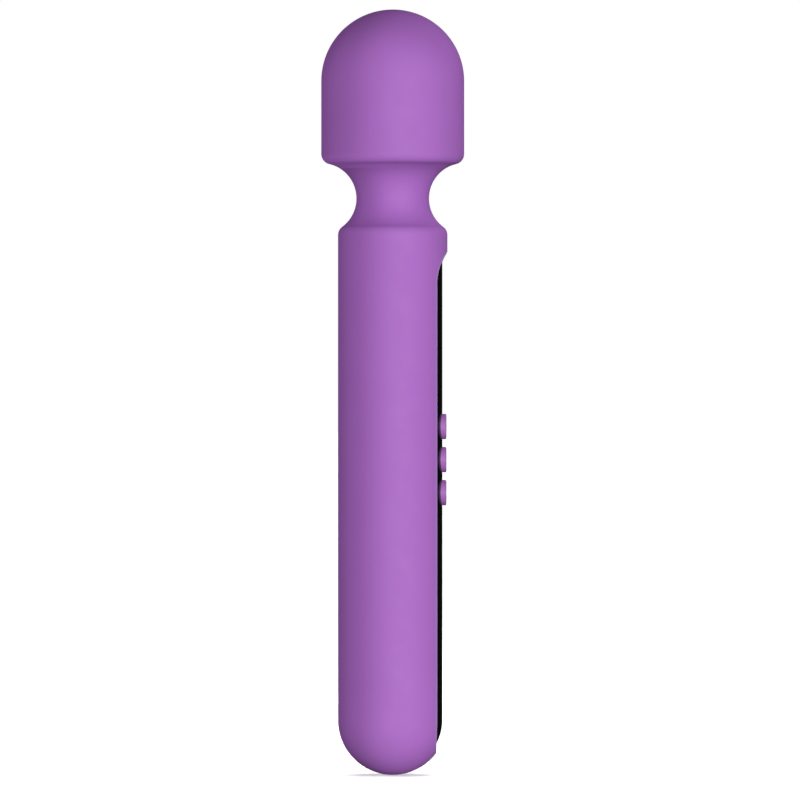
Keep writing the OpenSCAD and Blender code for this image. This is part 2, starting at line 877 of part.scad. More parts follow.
module motor_end_cap() {
    color("#E4E0D4") difference() {
        translate([0, 0, motor_z]) cylinder(r = motor_r, h = motor_cap_h);
        translate([0, 0, motor_z - 1]) cylinder(r = bush_r + screw_gap, h = motor_cap_h + 2);
    }
}

module motor_terminals() {
    color("gold") for (s = [-1, 1]) translate([-1.1, s * terminal_y - 0.25, motor_z - terminal_h])
        cube([2.2, 0.5, terminal_h]);
}

module motor_magnets() {
    color("#404044") for (s = [-1, 1]) intersection() {
        translate([0, 0, motor_z + motor_cap_h + 1]) difference() {
            cylinder(r = motor_r - can_t - bond_gap, h = magnet_len);
            translate([0, 0, -1]) cylinder(r = motor_r - can_t - magnet_t, h = motor_len);
        }
        translate([-magnet_half_w, s > 0 ? 0 : -motor_r, motor_z])
            cube([2 * magnet_half_w, motor_r, motor_len]);
    }
}

module motor_bushes() {
    color("#B08040") for (z = [motor_z + 0.2, motor_top + motor_boss_h - bush_h - 0.2])
        translate([0, 0, z]) difference() {
            cylinder(r = bush_r, h = bush_h);
            translate([0, 0, -1]) cylinder(r = shaft_r + 0.03, h = bush_h + 2);
        }
}

// Laminations, windings and commutator on the shaft
module motor_armature() {
    color("#A05A2C") translate([0, 0, armature_z]) difference() {
        union() {
            cylinder(r = commutator_r, h = commutator_h);
            translate([0, 0, commutator_h - 0.1]) cylinder(r = armature_r - 1.5, h = winding_len);
            translate([0, 0, commutator_h + 1.5]) cylinder(r = armature_r, h = stack_len);
        }
        translate([0, 0, -1]) cylinder(r = shaft_r + screw_gap, h = motor_len);
    }
}

module motor_shaft() {
    color("silver") translate([0, 0, motor_z + 0.4]) cylinder(r = shaft_r, h = weight_z + weight_h - motor_z);
}

// Half disc on a hub; it points to +Y at rest
module eccentric_weight() {
    color("#9A9A9E") translate([0, 0, weight_z]) difference() {
        union() {
            intersection() {
                cylinder(r = weight_r, h = weight_h);
                translate([-weight_r, 0, -1]) cube([2 * weight_r, weight_r, weight_h + 2]);
            }
            cylinder(r = hub_r, h = weight_h);
        }
        translate([0, 0, -1]) cylinder(r = shaft_r + screw_gap, h = weight_h + 2);
    }
}

module motor_lead_positive() {
    color("red") lead(motor_positive_route, [1, 0, 0]);
}

module motor_lead_negative() {
    color("#202020") mirror([0, 1, 0]) lead(motor_positive_route, [1, 0, 0]);
}

handle_skin();
neck_skin_lower();
neck_skin_upper();
head_skin();
front_housing();
rear_housing();
housing_screws();
control_panel();
panel_tape();
button_plus();
button_power();
button_minus();
button_seals();
plunger(1);  // plunger_plus
plunger(0);  // plunger_power
plunger(-1);  // plunger_minus
tact_switches();
main_board();
board_chips();
status_led();
board_screws();
battery_cell();
battery_tabs();
battery_pads();
battery_lead_positive();
battery_lead_negative();
port_cover();
charge_jack();
jack_contacts();
jack_o_ring();
jack_lead_positive();
jack_lead_negative();
neck_base();
neck_spring();
neck_bush_lower();
neck_ring();
neck_bush_upper();
neck_cap();
neck_cap_screws();
head_shell_lower();
head_shell_upper();
motor_isolator_lower();
motor_isolator_upper();
motor_can();
motor_end_cap();
motor_terminals();
motor_magnets();
motor_bushes();
motor_armature();
motor_shaft();
eccentric_weight();
motor_lead_positive();
motor_lead_negative();
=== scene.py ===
# %% [markdown]
# # A silicone wand massager, built around its construction model
#
# The construction model already holds every piece at its real size. This lesson gives the wand its looks:
# soft lilac silicone over nearly the whole outside, a piano black panel let into the front, and three small
# silicone buttons. We load the model first, because every piece we make takes its place from it.

# %% Load the frame
import math

import bpy
import numpy as np
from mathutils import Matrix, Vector
from mathutils.geometry import delaunay_2d_cdt


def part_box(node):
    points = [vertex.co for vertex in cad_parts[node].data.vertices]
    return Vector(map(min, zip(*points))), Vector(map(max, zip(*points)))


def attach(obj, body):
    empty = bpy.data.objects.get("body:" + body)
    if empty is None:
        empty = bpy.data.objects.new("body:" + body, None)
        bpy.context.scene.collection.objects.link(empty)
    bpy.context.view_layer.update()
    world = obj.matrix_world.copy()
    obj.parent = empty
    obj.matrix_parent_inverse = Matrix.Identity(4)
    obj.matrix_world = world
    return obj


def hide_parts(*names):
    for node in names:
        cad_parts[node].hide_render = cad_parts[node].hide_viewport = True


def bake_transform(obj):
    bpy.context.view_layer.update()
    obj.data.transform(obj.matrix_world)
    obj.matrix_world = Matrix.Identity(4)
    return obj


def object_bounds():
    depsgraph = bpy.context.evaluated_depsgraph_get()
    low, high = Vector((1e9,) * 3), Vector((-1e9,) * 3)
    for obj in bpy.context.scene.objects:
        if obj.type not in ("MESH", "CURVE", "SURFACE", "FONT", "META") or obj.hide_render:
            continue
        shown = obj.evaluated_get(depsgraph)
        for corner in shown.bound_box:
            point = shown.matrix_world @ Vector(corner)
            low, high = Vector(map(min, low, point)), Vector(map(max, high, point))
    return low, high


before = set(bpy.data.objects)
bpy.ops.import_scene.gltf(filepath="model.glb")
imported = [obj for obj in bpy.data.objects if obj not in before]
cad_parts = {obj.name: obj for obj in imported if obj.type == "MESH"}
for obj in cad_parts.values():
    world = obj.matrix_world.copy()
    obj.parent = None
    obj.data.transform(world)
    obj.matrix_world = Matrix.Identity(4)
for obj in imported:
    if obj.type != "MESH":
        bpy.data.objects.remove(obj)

MM = 0.001
cad_low, cad_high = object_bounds()
print("box in mm:", [round(v / MM, 2) for v in (*cad_low, *cad_high)])

# %% [markdown]
# ## The camera
#
# The wand stands upright and is seen exactly from its side, with the panel at the right. A very long lens
# far away keeps its parallel sides parallel, as a catalogue picture does. The frame is a little taller than
# the wand, and the wand stands slightly left of and above the middle.

# %% Set up the camera
LENS = 400
SENSOR = 36
FRAME_HEIGHT = 245.66 * MM
AIM = Vector((2.24 * MM, 0, 115.1 * MM))

camera_data = bpy.data.cameras.new("camera")
camera_data.lens = LENS
camera_data.sensor_width = SENSOR
camera_data.clip_end = 50
camera = bpy.data.objects.new("camera", camera_data)
distance = FRAME_HEIGHT * LENS / SENSOR
camera.location = AIM + Vector((0, -distance, 0))
camera.rotation_euler = (math.radians(90), 0, 0)
bpy.context.scene.collection.objects.link(camera)
bpy.context.scene.camera = camera
print("camera distance in m:", round(distance, 3))

# %% [markdown]
# ## The sizes we need
#
# Most sizes are read from the boxes of the construction pieces, so the looks can't drift away from the
# model. A box can't tell a rounding, so the few radii of edges and curves are given here.

# %% Read the main sizes
HANDLE_R = -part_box("handle_skin")[0].x
HEAD_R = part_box("head_skin")[1].x
PANEL_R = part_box("control_panel")[1].x
NECK_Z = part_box("neck_skin_lower")[1].z
FLEX_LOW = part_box("neck_skin_lower")[0].z
FLEX_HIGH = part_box("neck_skin_upper")[1].z
RING_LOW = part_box("neck_ring")[0].z
RING_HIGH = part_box("neck_ring")[1].z
SKIN_T = HANDLE_R - PANEL_R
NECK_R = 11.15 * MM
NECK_ARC_R = 10.85 * MM
EDGE_R = 3.1 * MM
BUTT_Z = HANDLE_R
DOME_Z = cad_high.z - HEAD_R
NECK_ARC_X = NECK_R + NECK_ARC_R
REACH = NECK_ARC_R + EDGE_R
SHOULDER_Z = NECK_Z - math.sqrt(REACH**2 - (NECK_ARC_X - HANDLE_R + EDGE_R) ** 2)
RIM_Z = NECK_Z + math.sqrt(REACH**2 - (NECK_ARC_X - HEAD_R + EDGE_R) ** 2)
print("radii of handle, head and panel in mm:", [round(r / MM, 2) for r in (HANDLE_R, HEAD_R, PANEL_R)])
print("shoulder and rim heights in mm:", round(SHOULDER_Z / MM, 2), round(RIM_Z / MM, 2))

# %% [markdown]
# ## Colours and a helper for material nodes
#
# Colours are written as sRGB hex values, and one function turns them into the linear values that the shader
# needs. One small function adds a node, sets its inputs and joins it to the others, and four more build on
# it: they make a noise with blotches of a real size, and let it vary the colour, the gloss or the relief.


# %% Colour and node helpers
def linear(hex_colour):
    """Linear red, green, blue and alpha of an sRGB hex colour."""
    values = [int(hex_colour[i : i + 2], 16) / 255 for i in (1, 3, 5)]
    return [v / 12.92 if v <= 0.04045 else ((v + 0.055) / 1.055) ** 2.4 for v in values] + [1.0]


def add_node(tree, kind, inputs=None, **settings):
    """One node: settings are its properties, and each input gets a value or another node's output."""
    node = tree.nodes.new(kind)
    for name, value in settings.items():
        setattr(node, name, value)
    for name, value in (inputs or {}).items():
        if isinstance(value, bpy.types.NodeSocket):
            tree.links.new(value, node.inputs[name])
        else:
            node.inputs[name].default_value = value
    return node


def add_noise(tree, place, size, detail):
    """A noise value whose blotches have a real size in millimetres."""
    inputs = {"Vector": place, "Scale": 1 / (size * MM), "Detail": detail}
    return add_node(tree, "ShaderNodeTexNoise", inputs).outputs["Fac"]


def vary_colour(tree, shader, noise, hex_colour, hex_other):
    """Lets the base colour drift between two colours with a noise."""
    tint = add_node(tree, "ShaderNodeMix", {0: noise}, data_type="RGBA")
    tint.inputs[6].default_value = linear(hex_colour)
    tint.inputs[7].default_value = linear(hex_other)
    tree.links.new(tint.outputs[2], shader.inputs["Base Color"])


def vary_gloss(tree, shader, noise, smooth, rough, start=0.3, end=0.7):
    """Lets the roughness run from smooth to rough while a noise runs from start to end."""
    gloss = add_node(tree, "ShaderNodeMapRange", {"Value": noise, 1: start, 2: end, 3: smooth, 4: rough})
    tree.links.new(gloss.outputs["Result"], shader.inputs["Roughness"])


def add_relief(tree, shader, noise, strength, depth):
    """Raises the surface with a noise, to a real depth in millimetres."""
    bump = add_node(tree, "ShaderNodeBump", {"Height": noise, "Strength": strength, "Distance": depth * MM})
    tree.links.new(bump.outputs["Normal"], shader.inputs["Normal"])


def new_material(name, hex_colour, roughness, metallic=0.0, ior=1.5):
    """A material with its even values on the shader's own sockets; returns material, tree and shader."""
    material = bpy.data.materials.new(name)
    material.use_nodes = True
    shader = material.node_tree.nodes["Principled BSDF"]
    shader.inputs["Base Color"].default_value = linear(hex_colour)
    shader.inputs["Roughness"].default_value = roughness
    shader.inputs["Metallic"].default_value = metallic
    shader.inputs["IOR"].default_value = ior
    return material, material.node_tree, shader


print("silicone lilac, linear:", [round(v, 3) for v in linear("#A869C1")[:3]])

# %% [markdown]
# ## Soft-touch silicone
#
# The skin is liquid silicone rubber, moulded in a spark-eroded tool. That gives the eye a powdery surface: no
# sharp highlight, a soft falloff, and a grain so fine that it only shows close up. The real grain is about
# 0.05 mm; it is drawn at 0.25 mm, the finest that shows. The pigment is never perfectly even, so the colour
# drifts a little over about 15 mm, and handling leaves patches that are slightly smoother than others. The
# buttons come from a tool of their own and are a little duller in colour. The window's edge gets a paler,
# greyer lilac of its own: a painted highlight for the light that the rounded edge catches.


# %% Make the silicone
def moulded_silicone(name, hex_light, hex_deep, roughness):
    """Powdery moulded rubber: a cloudy pigment, handled patches and a fine eroded grain."""
    material, tree, shader = new_material(name, hex_light, roughness, ior=1.41)
    place = add_node(tree, "ShaderNodeTexCoord").outputs["Object"]
    vary_colour(tree, shader, add_noise(tree, place, 15, 3.0), hex_light, hex_deep)
    vary_gloss(tree, shader, add_noise(tree, place, 6, 4.0), roughness - 0.05, roughness + 0.05)
    add_relief(tree, shader, add_noise(tree, place, 0.25, 2.0), 0.3, 0.02)
    return material


SILICONE = moulded_silicone("lilac liquid silicone moulded", "#A869C1", "#A465BC", 0.72)
BUTTON_SILICONE = moulded_silicone("lilac button silicone moulded", "#A468B6", "#A064B1", 0.58)
# painted highlight: a paler, greyer lilac for the window's lip and the band beside it, standing in for light
PAINTED_HIGHLIGHT_SILICONE = moulded_silicone("lilac silicone painted edge highlight", "#A57CC0", "#A178BB", 0.6)
print("made", SILICONE.name, BUTTON_SILICONE.name, "and", PAINTED_HIGHLIGHT_SILICONE.name)

# %% [markdown]
# ## Piano black panel
#
# The panel is ABS moulded in a polished tool. It is a true black with a clean reflection. Such mouldings
# are never perfectly flat: a faint ripple a few millimetres wide breaks the reflection up a little, and
# wiping leaves fine hairlines along the handle. The hairlines are drawn 0.15 mm wide so that they show.


# %% Make the panel plastic
def polished_black(name):
    """Polished black plastic with a faint moulding ripple and lengthwise wiping marks."""
    material, tree, shader = new_material(name, "#060607", 0.14)
    shader.inputs["Specular IOR Level"].default_value = 0.35
    place = add_node(tree, "ShaderNodeTexCoord").outputs["Object"]
    stretch = {"Vector": place, "Scale": (1.0, 1.0, 0.04)}
    along = add_node(tree, "ShaderNodeMapping", stretch).outputs["Vector"]
    vary_gloss(tree, shader, add_noise(tree, along, 0.15, 1.0), 0.12, 0.2, start=0.45, end=0.75)
    add_relief(tree, shader, add_noise(tree, place, 5, 1.0), 0.1, 0.02)
    return material


PIANO_BLACK = polished_black("piano black moulded and polished")
print("made", PIANO_BLACK.name)

# %% [markdown]
# ## Meshes from patches
#
# A soft moulding has long smooth faces that meet in crisp or rounded edges. We build each one from patches:
# a patch is a list of points, the exact normal at each point, and the faces between them. The patches are
# welded where they touch, so the piece is one closed mesh, while every face corner keeps the normal of its
# own patch. That gives perfectly smooth shading with few faces, and no bevel modifier can do that here,
# because the window's edge runs over a curved surface.

# %% Weld patches into a piece
WELD = 0.0005 * MM


def ring_quads(rings, count):
    """Quads between neighbouring closed rings of points, all with the same count."""
    return [
        (j * count + i, j * count + (i + 1) % count, (j + 1) * count + (i + 1) % count, (j + 1) * count + i)
        for j in range(rings - 1)
        for i in range(count)
    ]


def ready(name, coords, faces, normals, material):
    """A smooth mesh object with its own corner normals."""
    mesh = bpy.data.meshes.new(name)
    mesh.from_pydata(coords, [], faces)
    mesh.polygons.foreach_set("use_smooth", [True] * len(faces))
    mesh.normals_split_custom_set(normals)
    mesh.materials.append(material)
    piece = bpy.data.objects.new(name, mesh)
    bpy.context.scene.collection.objects.link(piece)
    return piece


def build(name, patches, material, edges=(), edge_material=None):
    """One welded piece from patches of (points, normals, faces), some of which may have the edge material."""
    place_of, coords, faces, corner_normals, on_edge = {}, [], [], [], []
    for patch in patches:
        points, normals, patch_faces = patch
        points, normals = np.asarray(points, float), np.asarray(normals, float)
        index = []
        for key, point in zip(map(tuple, np.round(points / WELD).astype(int)), points):
            if key not in place_of:
                place_of[key] = len(coords)
                coords.append(point)
            index.append(place_of[key])
        for face in patch_faces:
            face = [i for k, i in enumerate(face) if index[i] != index[face[k - 1]]]
            if len({index[i] for i in face}) < 3:
                continue
            a, b, c = points[face[0]], points[face[1]], points[face[-1]]
            if np.dot(np.cross(b - a, c - a), normals[face].sum(axis=0)) < 0:
                face = face[::-1]
            faces.append([index[i] for i in face])
            corner_normals.extend(normals[face])
            on_edge.append(int(any(patch is e for e in edges)))
    piece = ready(name, coords, faces, corner_normals, material)
    if edge_material:
        piece.data.materials.append(edge_material)
        piece.data.polygons.foreach_set("material_index", on_edge)
    print(name, "has", len(coords), "points and", len(faces), "faces")
    return piece


# %% [markdown]
# ## The outline of the wand
#
# Nearly the whole outside is one turned shape: a round butt, a straight handle, a small rounded shoulder, a
# hollow neck, a small rounded rim and a domed head. All its curves are arcs, so the outline is worked out
# from their centres. Set in by the skin's thickness, the same arcs give the inside of the skin.

# %% Outline as arcs
STEP = 0.7 * MM
TURN_POINTS = 160
NEAR = 0.01 * MM


def arc(centre, radius, start, end, hollow=False):
    """Points on an arc from one angle to another in degrees, each as (radius, height, normal's two parts)."""
    count = max(6, round(abs(math.radians(end - start)) * radius / STEP))
    side = -1 if hollow else 1
    points = []
    for i in range(count + 1):
        angle = math.radians(start + (end - start) * i / count)
        c, s = math.cos(angle), math.sin(angle)
        points.append((centre[0] + radius * c, centre[1] + radius * s, side * c, side * s))
    return points


def outline(inset):
    """The outline from the butt to the top of the head, set in by a thickness."""
    shoulder = (HANDLE_R - EDGE_R, SHOULDER_Z)
    rim = (HEAD_R - EDGE_R, RIM_Z)
    low_angle = math.degrees(math.atan2(NECK_Z - shoulder[1], NECK_ARC_X - shoulder[0]))
    high_angle = math.degrees(math.atan2(rim[1] - NECK_Z, NECK_ARC_X - rim[0]))
    points = arc((0, BUTT_Z), HANDLE_R - inset, -90, 0)
    points += arc(shoulder, EDGE_R - inset, 0, low_angle)
    points += arc((NECK_ARC_X, NECK_Z), NECK_ARC_R + inset, 180 + low_angle, 180 - high_angle, hollow=True)
    points += arc(rim, EDGE_R - inset, -high_angle, 0)
    points += arc((0, DOME_Z), HEAD_R - inset, 0, 90)
    kept = [points[0]]
    for point in points[1:]:
        if math.dist(point[:2], kept[-1][:2]) > 2 * WELD:
            kept.append(point)
    return kept


def between(points, low, high):
    """The stretch of an outline between two heights, with exact ends."""
    table = np.array(points)
    inside = [tuple(p) for p in table if low + NEAR < p[1] < high - NEAR]
    ends = []
    for z in (low, high):
        end = [float(np.interp(z, table[:, 1], table[:, k])) for k in range(4)]
        size = math.hypot(end[2], end[3])
        ends.append((end[0], z, end[2] / size, end[3] / size))
    return [ends[0], *inside, ends[1]]


OUTER = outline(0)
INNER = outline(SKIN_T)
print("outline points:", len(OUTER), "outside,", len(INNER), "inside")

# %% [markdown]
# ## Turning a profile
#
# A turned patch is the profile swept once round the axis. Straight cuts between the outside and the inside,
# such as the end of a sleeve, are turned too, with a normal along the axis.


# %% Turned patches
def turned(profile, flip=False, count=TURN_POINTS):
    """The profile swept round the upright axis; flip turns the normals inwards, for a sleeve's inside."""
    side = -1 if flip else 1
    angles = [2 * math.pi * i / count for i in range(count)]
    points = [(r * math.cos(a), r * math.sin(a), z) for r, z, _, _ in profile for a in angles]
    round_about = [(side * math.cos(a), side * math.sin(a)) for a in angles]
    normals = [(u * c, u * s, side * v) for _, _, u, v in profile for c, s in round_about]
    return points, normals, ring_quads(len(profile), count)


def line(r0, z0, r1, z1):
    """A straight stretch of profile whose normal points to the right of its direction."""
    size = math.hypot(r1 - r0, z1 - z0)
    u, v = (z1 - z0) / size, (r0 - r1) / size
    return [(r0, z0, u, v), (r1, z1, u, v)]


def sleeve(outside, inside):
    """A closed turned sleeve between two profiles that run upwards."""
    low_out, low_in, high_out, high_in = outside[0], inside[0], outside[-1], inside[-1]
    return [
        turned(outside),
        turned(inside, flip=True),
        turned(line(low_in[0], low_in[1], low_out[0], low_out[1])),
        turned(line(high_out[0], high_out[1], high_in[0], high_in[1])),
    ]


print("helpers for turning are ready")

# %% [markdown]
# ## Cutting openings in a rolled skin
#
# The handle's skin has a long window for the panel and a small round opening for the charging port, both
# cut straight sideways. We work as a pattern cutter would: lay the skin out flat, fill it with triangles that
# respect the outline of each opening, leave out those inside the openings, and roll it up again. The panel
# itself comes from the same pattern, with the triangles inside the window kept instead.


# %% Place points on the handle
SLIVER = 0.0001 * MM**2


def on_handle(y, z, inset, side):
    """The point of the handle's surface, and its normal, seen from the front (side 1) or the back (-1)."""
    radius = HANDLE_R - inset
    rise = min(z - BUTT_Z, 0.0)
    x = side * math.sqrt(max(radius**2 - y**2 - rise**2, 0.0))
    return (x, y, z), (x / radius, y / radius, rise / radius)


def laid_flat(point, inset):
    """Where a point of the handle's surface lies on the flat pattern; the seam is at the far side."""
    radius = HANDLE_R - inset
    angle = math.atan2(point[1], point[0])
    if angle > math.pi / 2 + 1e-9:
        angle -= 2 * math.pi
    rise = point[2] - BUTT_Z
    return angle * radius, rise if rise > 0 else radius * math.asin(max(rise / radius, -1.0))


def inside_loop(points, loop):
    """Whether each point lies inside a closed loop, and how far it is from the loop's line."""
    p, a = np.asarray(points, float)[:, None, :], np.asarray(loop, float)[None]
    b = np.roll(a, -1, axis=1)
    rising = (a[..., 1] > p[..., 1]) != (b[..., 1] > p[..., 1])
    slope = (b[..., 0] - a[..., 0]) / np.where(b[..., 1] == a[..., 1], 1.0, b[..., 1] - a[..., 1])
    crossed = rising & (p[..., 0] < a[..., 0] + slope * (p[..., 1] - a[..., 1]))
    run = b - a
    share = np.clip(((p - a) * run).sum(-1) / np.maximum((run**2).sum(-1), 1e-18), 0, 1)
    away = np.linalg.norm(a + share[..., None] * run - p, axis=-1).min(axis=1)
    return crossed.sum(axis=1) % 2 == 1, away


def triangles(flat_points, edges):
    """Triangles between flat points that keep the given edges, without slivers between points in line."""
    _, _, faces, sources, _, _ = delaunay_2d_cdt([Vector(p) for p in flat_points], edges, [], 0, 1e-9)
    faces = np.array([[sources[i][0] for i in face] for face in faces])
    a, b, c = (np.array(flat_points)[faces[:, k]] for k in range(3))
    area = np.abs((b - a)[:, 0] * (c - a)[:, 1] - (b - a)[:, 1] * (c - a)[:, 0]) / 2
    return [tuple(face) for face in faces[area > SLIVER].tolist()]


def loop_edges(loops):
    """The edges of closed loops whose points are numbered one loop after the other."""
    edges, first = [], 0
    for loop in loops:
        edges += [(first + i, first + (i + 1) % len(loop)) for i in range(len(loop))]
        first += len(loop)
    return edges


def filled(flats, edges, loops, inside=True):
    """Triangles between flat points that lie inside the loops, or outside them."""
    faces = triangles(flats, edges)
    centres = np.array(flats)[np.array(faces)].mean(axis=1)
    crossings = sum(inside_loop(centres, loop)[0].astype(int) for loop in loops)
    return [face for face, wanted in zip(faces, crossings % 2 == int(inside)) if wanted]


def reversed_patch(patch):
    """A patch whose normals face the other way, for an inner face."""
    points, normals, faces = patch
    return points, [tuple(-v for v in normal) for normal in normals], faces


print("pattern helpers are ready")

# %% [markdown]
# The pattern's grid has a column of points every few degrees and a row every few millimetres. Points too
# close to an opening's edge are left out, so that no sliver triangles form there.

# %% Cut and roll up the pattern
MARGIN = 0.35 * MM


def pattern(inset, heights, openings, keep_inside=False):
    """A rolled patch of the handle between given heights, from openings of (side, loop of (y, z))."""
    columns = [math.radians(-270 + 360 * i / TURN_POINTS) for i in range(TURN_POINTS + 1)]
    radius = HANDLE_R - inset
    points, normals, flats, flat_loops = [], [], [], []

    def add(point, normal, flat):
        points.append(point)
        normals.append(normal)
        flats.append(flat)
        return len(points) - 1

    for side, loop in openings:
        first = len(points)
        for y, z in loop:
            point, normal = on_handle(y, z, inset, side)
            add(point, normal, laid_flat(point, inset))
        flat_loops.append(flats[first:])
    edges = loop_edges(flat_loops)
    grid = []
    for row, z in enumerate(heights):
        rise = min(z - BUTT_Z, 0.0)
        across = math.sqrt(max(radius**2 - rise**2, 0.0))
        for column, angle in enumerate(columns):
            x, y = across * math.cos(angle), across * math.sin(angle)
            normal = (x / radius, y / radius, rise / radius)
            flat_z = z - BUTT_Z if rise == 0 else radius * math.asin(rise / radius)
            grid.append((row, column, (x, y, z), normal, (angle * radius, flat_z)))
    crossings, keep = np.zeros(len(grid), int), np.ones(len(grid), bool)
    for loop in flat_loops:
        within, away = inside_loop([g[4] for g in grid], loop)
        crossings += within
        keep &= away > MARGIN
    keep &= crossings % 2 == int(keep_inside)
    number = {}
    for g, kept in zip(grid, keep):
        if kept:
            number[g[:2]] = add(*g[2:])
    edges += [(n, number[(r + 1, c)]) for (r, c), n in number.items() if (r + 1, c) in number]
    return points, normals, filled(flats, edges, flat_loops, keep_inside)


print("pattern cutter is ready")

# %% [markdown]
# ## Rounded lips
#
# A moulded edge is never sharp. Where the window meets the skin's outer face the edge is acute at the long
# sides and square at the ends, so the rounding is worked out point by point: a circle of the lip's radius
# is laid into the corner so that it touches both faces. This rounding catches some light, and the thin pale
# line along the panel is also painted: the lip has the paler lilac of a painted highlight.


# %% Loops, lips and walls
def loop_normals(loop, outwards):
    """The sideways normal at each point of a closed loop, away from it or towards its inside."""
    p = np.asarray(loop, float)
    before, after = p - np.roll(p, 1, axis=0), np.roll(p, -1, axis=0) - p
    run = before / np.linalg.norm(before, axis=1)[:, None] + after / np.linalg.norm(after, axis=1)[:, None]
    run /= np.linalg.norm(run, axis=1)[:, None]
    turning = np.sum(p[:, 0] * np.roll(p[:, 1], -1) - np.roll(p[:, 0], -1) * p[:, 1])
    normals = np.stack([run[:, 1], -run[:, 0]], axis=1) * (1 if turning > 0 else -1)
    return normals if outwards else -normals


def strip(rings, ring_normals):
    """Quads between closed rings of points."""
    points = [p for ring in rings for p in ring]
    normals = [n for ring in ring_normals for n in ring]
    return points, normals, ring_quads(len(rings), len(rings[0]))


def lip(loop, walls, inset, side, radius, steps=6):
    """Rounded edge along a loop: its patch, the loop where it meets the outer face, and its last ring."""
    rings, ring_normals = [[] for _ in range(steps + 1)], [[] for _ in range(steps + 1)]
    for (y, z), wall in zip(loop, walls):
        point, normal = (np.array(v) for v in on_handle(y, z, inset, side))
        sideways = np.array([0.0, wall[0], wall[1]])
        spread = float(np.dot(normal, sideways))
        centre = point - (normal + sideways) * radius / (1 + spread)
        angle = math.acos(max(-1.0, min(1.0, spread)))
        for k in range(steps + 1):
            share = k / steps
            swing = math.sin((1 - share) * angle) * normal + math.sin(share * angle) * sideways
            turn = swing / math.sin(angle)
            ring_point = centre + radius * turn
            if k == 0:
                ring_point, turn = on_handle(ring_point[1], ring_point[2], inset, side)
            rings[k].append(tuple(ring_point))
            ring_normals[k].append(tuple(turn))
    outer_loop = [(p[1], p[2]) for p in rings[0]]
    return strip(rings, ring_normals), outer_loop, rings[-1]


def wall(top_ring, loop, walls, inset, side):
    """Straight side of an opening, from a lip's last ring down to the loop on a deeper face."""
    bottom = [on_handle(y, z, inset, side)[0] for y, z in loop]
    normals = [(0.0, w[0], w[1]) for w in walls]
    return strip([top_ring, bottom], [normals, normals])


print("lip helpers are ready")

# %% [markdown]
# ## The skin of the handle
#
# The skin is 1.55 mm of silicone, bonded to the plastic housing. The window has half-round ends, and because
# it is cut straight sideways through a round handle, its sides look straight from here while its top end
# slants where it runs out over the edge. A band of 1.1 mm beside the window and the window's lip are painted
# paler, a painted highlight, and are a little less rough. The port opening sits low at the back.

# %% Build the handle's skin
WINDOW_R = 9.37 * MM
WINDOW_LOW = BUTT_Z - 0.4 * MM
WINDOW_HIGH = NECK_Z - 26 * MM
PORT_Z = BUTT_Z + 2.9 * MM
PORT_R = 2.75 * MM
# width of the band beside the window that is painted paler as a highlight
HIGHLIGHT_BAND_WIDTH = 1.1 * MM
WINDOW_LIP_R = 0.3 * MM
PORT_LIP_R = 0.2 * MM
STRAIGHT_ROWS = 38
FOOT_ROW = 14  # the outline's row up to which the butt is plainly turned, below both openings


def round_ended(radius, low, high, count=48):
    """A loop with straight sides and half-round ends, as (y, z)."""
    sides = max(2, round((high - low) / (1.5 * MM)))
    top = [math.pi * i / count for i in range(count + 1)]
    loop = [(radius * math.cos(a), high + radius * math.sin(a)) for a in top]
    loop += [(-radius, high + (low - high) * i / sides) for i in range(1, sides)]
    loop += [(-radius * math.cos(a), low - radius * math.sin(a)) for a in top]
    loop += [(radius, low + (high - low) * i / sides) for i in range(1, sides)]
    return loop


def circle(radius, z, count=64):
    """A round loop at a height, as (y, z)."""
    return [
        (radius * math.cos(2 * math.pi * i / count), z + radius * math.sin(2 * math.pi * i / count))
        for i in range(count)
    ]


def rows(low, high):
    """Heights of the pattern's rows: close together over the butt, wide apart up the straight handle."""
    butt = [p[1] for p in OUTER if low - 1e-9 <= p[1] < BUTT_Z - 0.1 * MM]
    straight = np.linspace(BUTT_Z, high, STRAIGHT_ROWS)
    return [low, *[z for z in butt if z > low + 0.2 * MM], *straight]


window = round_ended(WINDOW_R, WINDOW_LOW, WINDOW_HIGH)
port = circle(PORT_R, PORT_Z)
window_walls, port_walls = loop_normals(window, False), loop_normals(port, False)
window_lip, window_outer, window_ring = lip(window, window_walls, 0, 1, WINDOW_LIP_R)
port_lip, port_outer, port_ring = lip(port, port_walls, 0, -1, PORT_LIP_R)
# the band beside the window carries the painted highlight colour, together with the window's lip
beside = round_ended(WINDOW_R + HIGHLIGHT_BAND_WIDTH, WINDOW_LOW, WINDOW_HIGH)
band = [[on_handle(y, z, 0, 1) for y, z in loop] for loop in (beside, window_outer)]
highlight_band = strip(*[[[corner[part] for corner in ring] for ring in band] for part in (0, 1)])
foot_out, foot_in = OUTER[FOOT_ROW][1], INNER[FOOT_ROW][1]

handle_patches = [
    turned(between(OUTER, 0, foot_out)),
    pattern(0, rows(foot_out, SHOULDER_Z), [(1, beside), (-1, port_outer)]),
    turned(between(OUTER, SHOULDER_Z, FLEX_LOW)),
    highlight_band,
    window_lip,
    port_lip,
    wall(window_ring, window, window_walls, SKIN_T, 1),
    wall(port_ring, port, port_walls, SKIN_T, -1),
    turned(between(INNER, SKIN_T, foot_in), flip=True),
    turned(between(INNER, SHOULDER_Z, FLEX_LOW), flip=True),
]
inner_wall = pattern(SKIN_T, rows(foot_in, SHOULDER_Z), [(1, window), (-1, port)])
handle_patches.append(reversed_patch(inner_wall))
skin_ends = [between(points, SHOULDER_Z, FLEX_LOW)[-1][0] for points in (OUTER, INNER)]
handle_patches.append(turned(line(skin_ends[0], FLEX_LOW, skin_ends[1], FLEX_LOW)))
# the band and the window's lip get the paler lilac, a painted highlight
handle_skin = build(
    "skin_of_handle",
    handle_patches,
    SILICONE,
    edges=(highlight_band, window_lip),
    edge_material=PAINTED_HIGHLIGHT_SILICONE,
)
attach(handle_skin, "handle")
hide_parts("handle_skin")
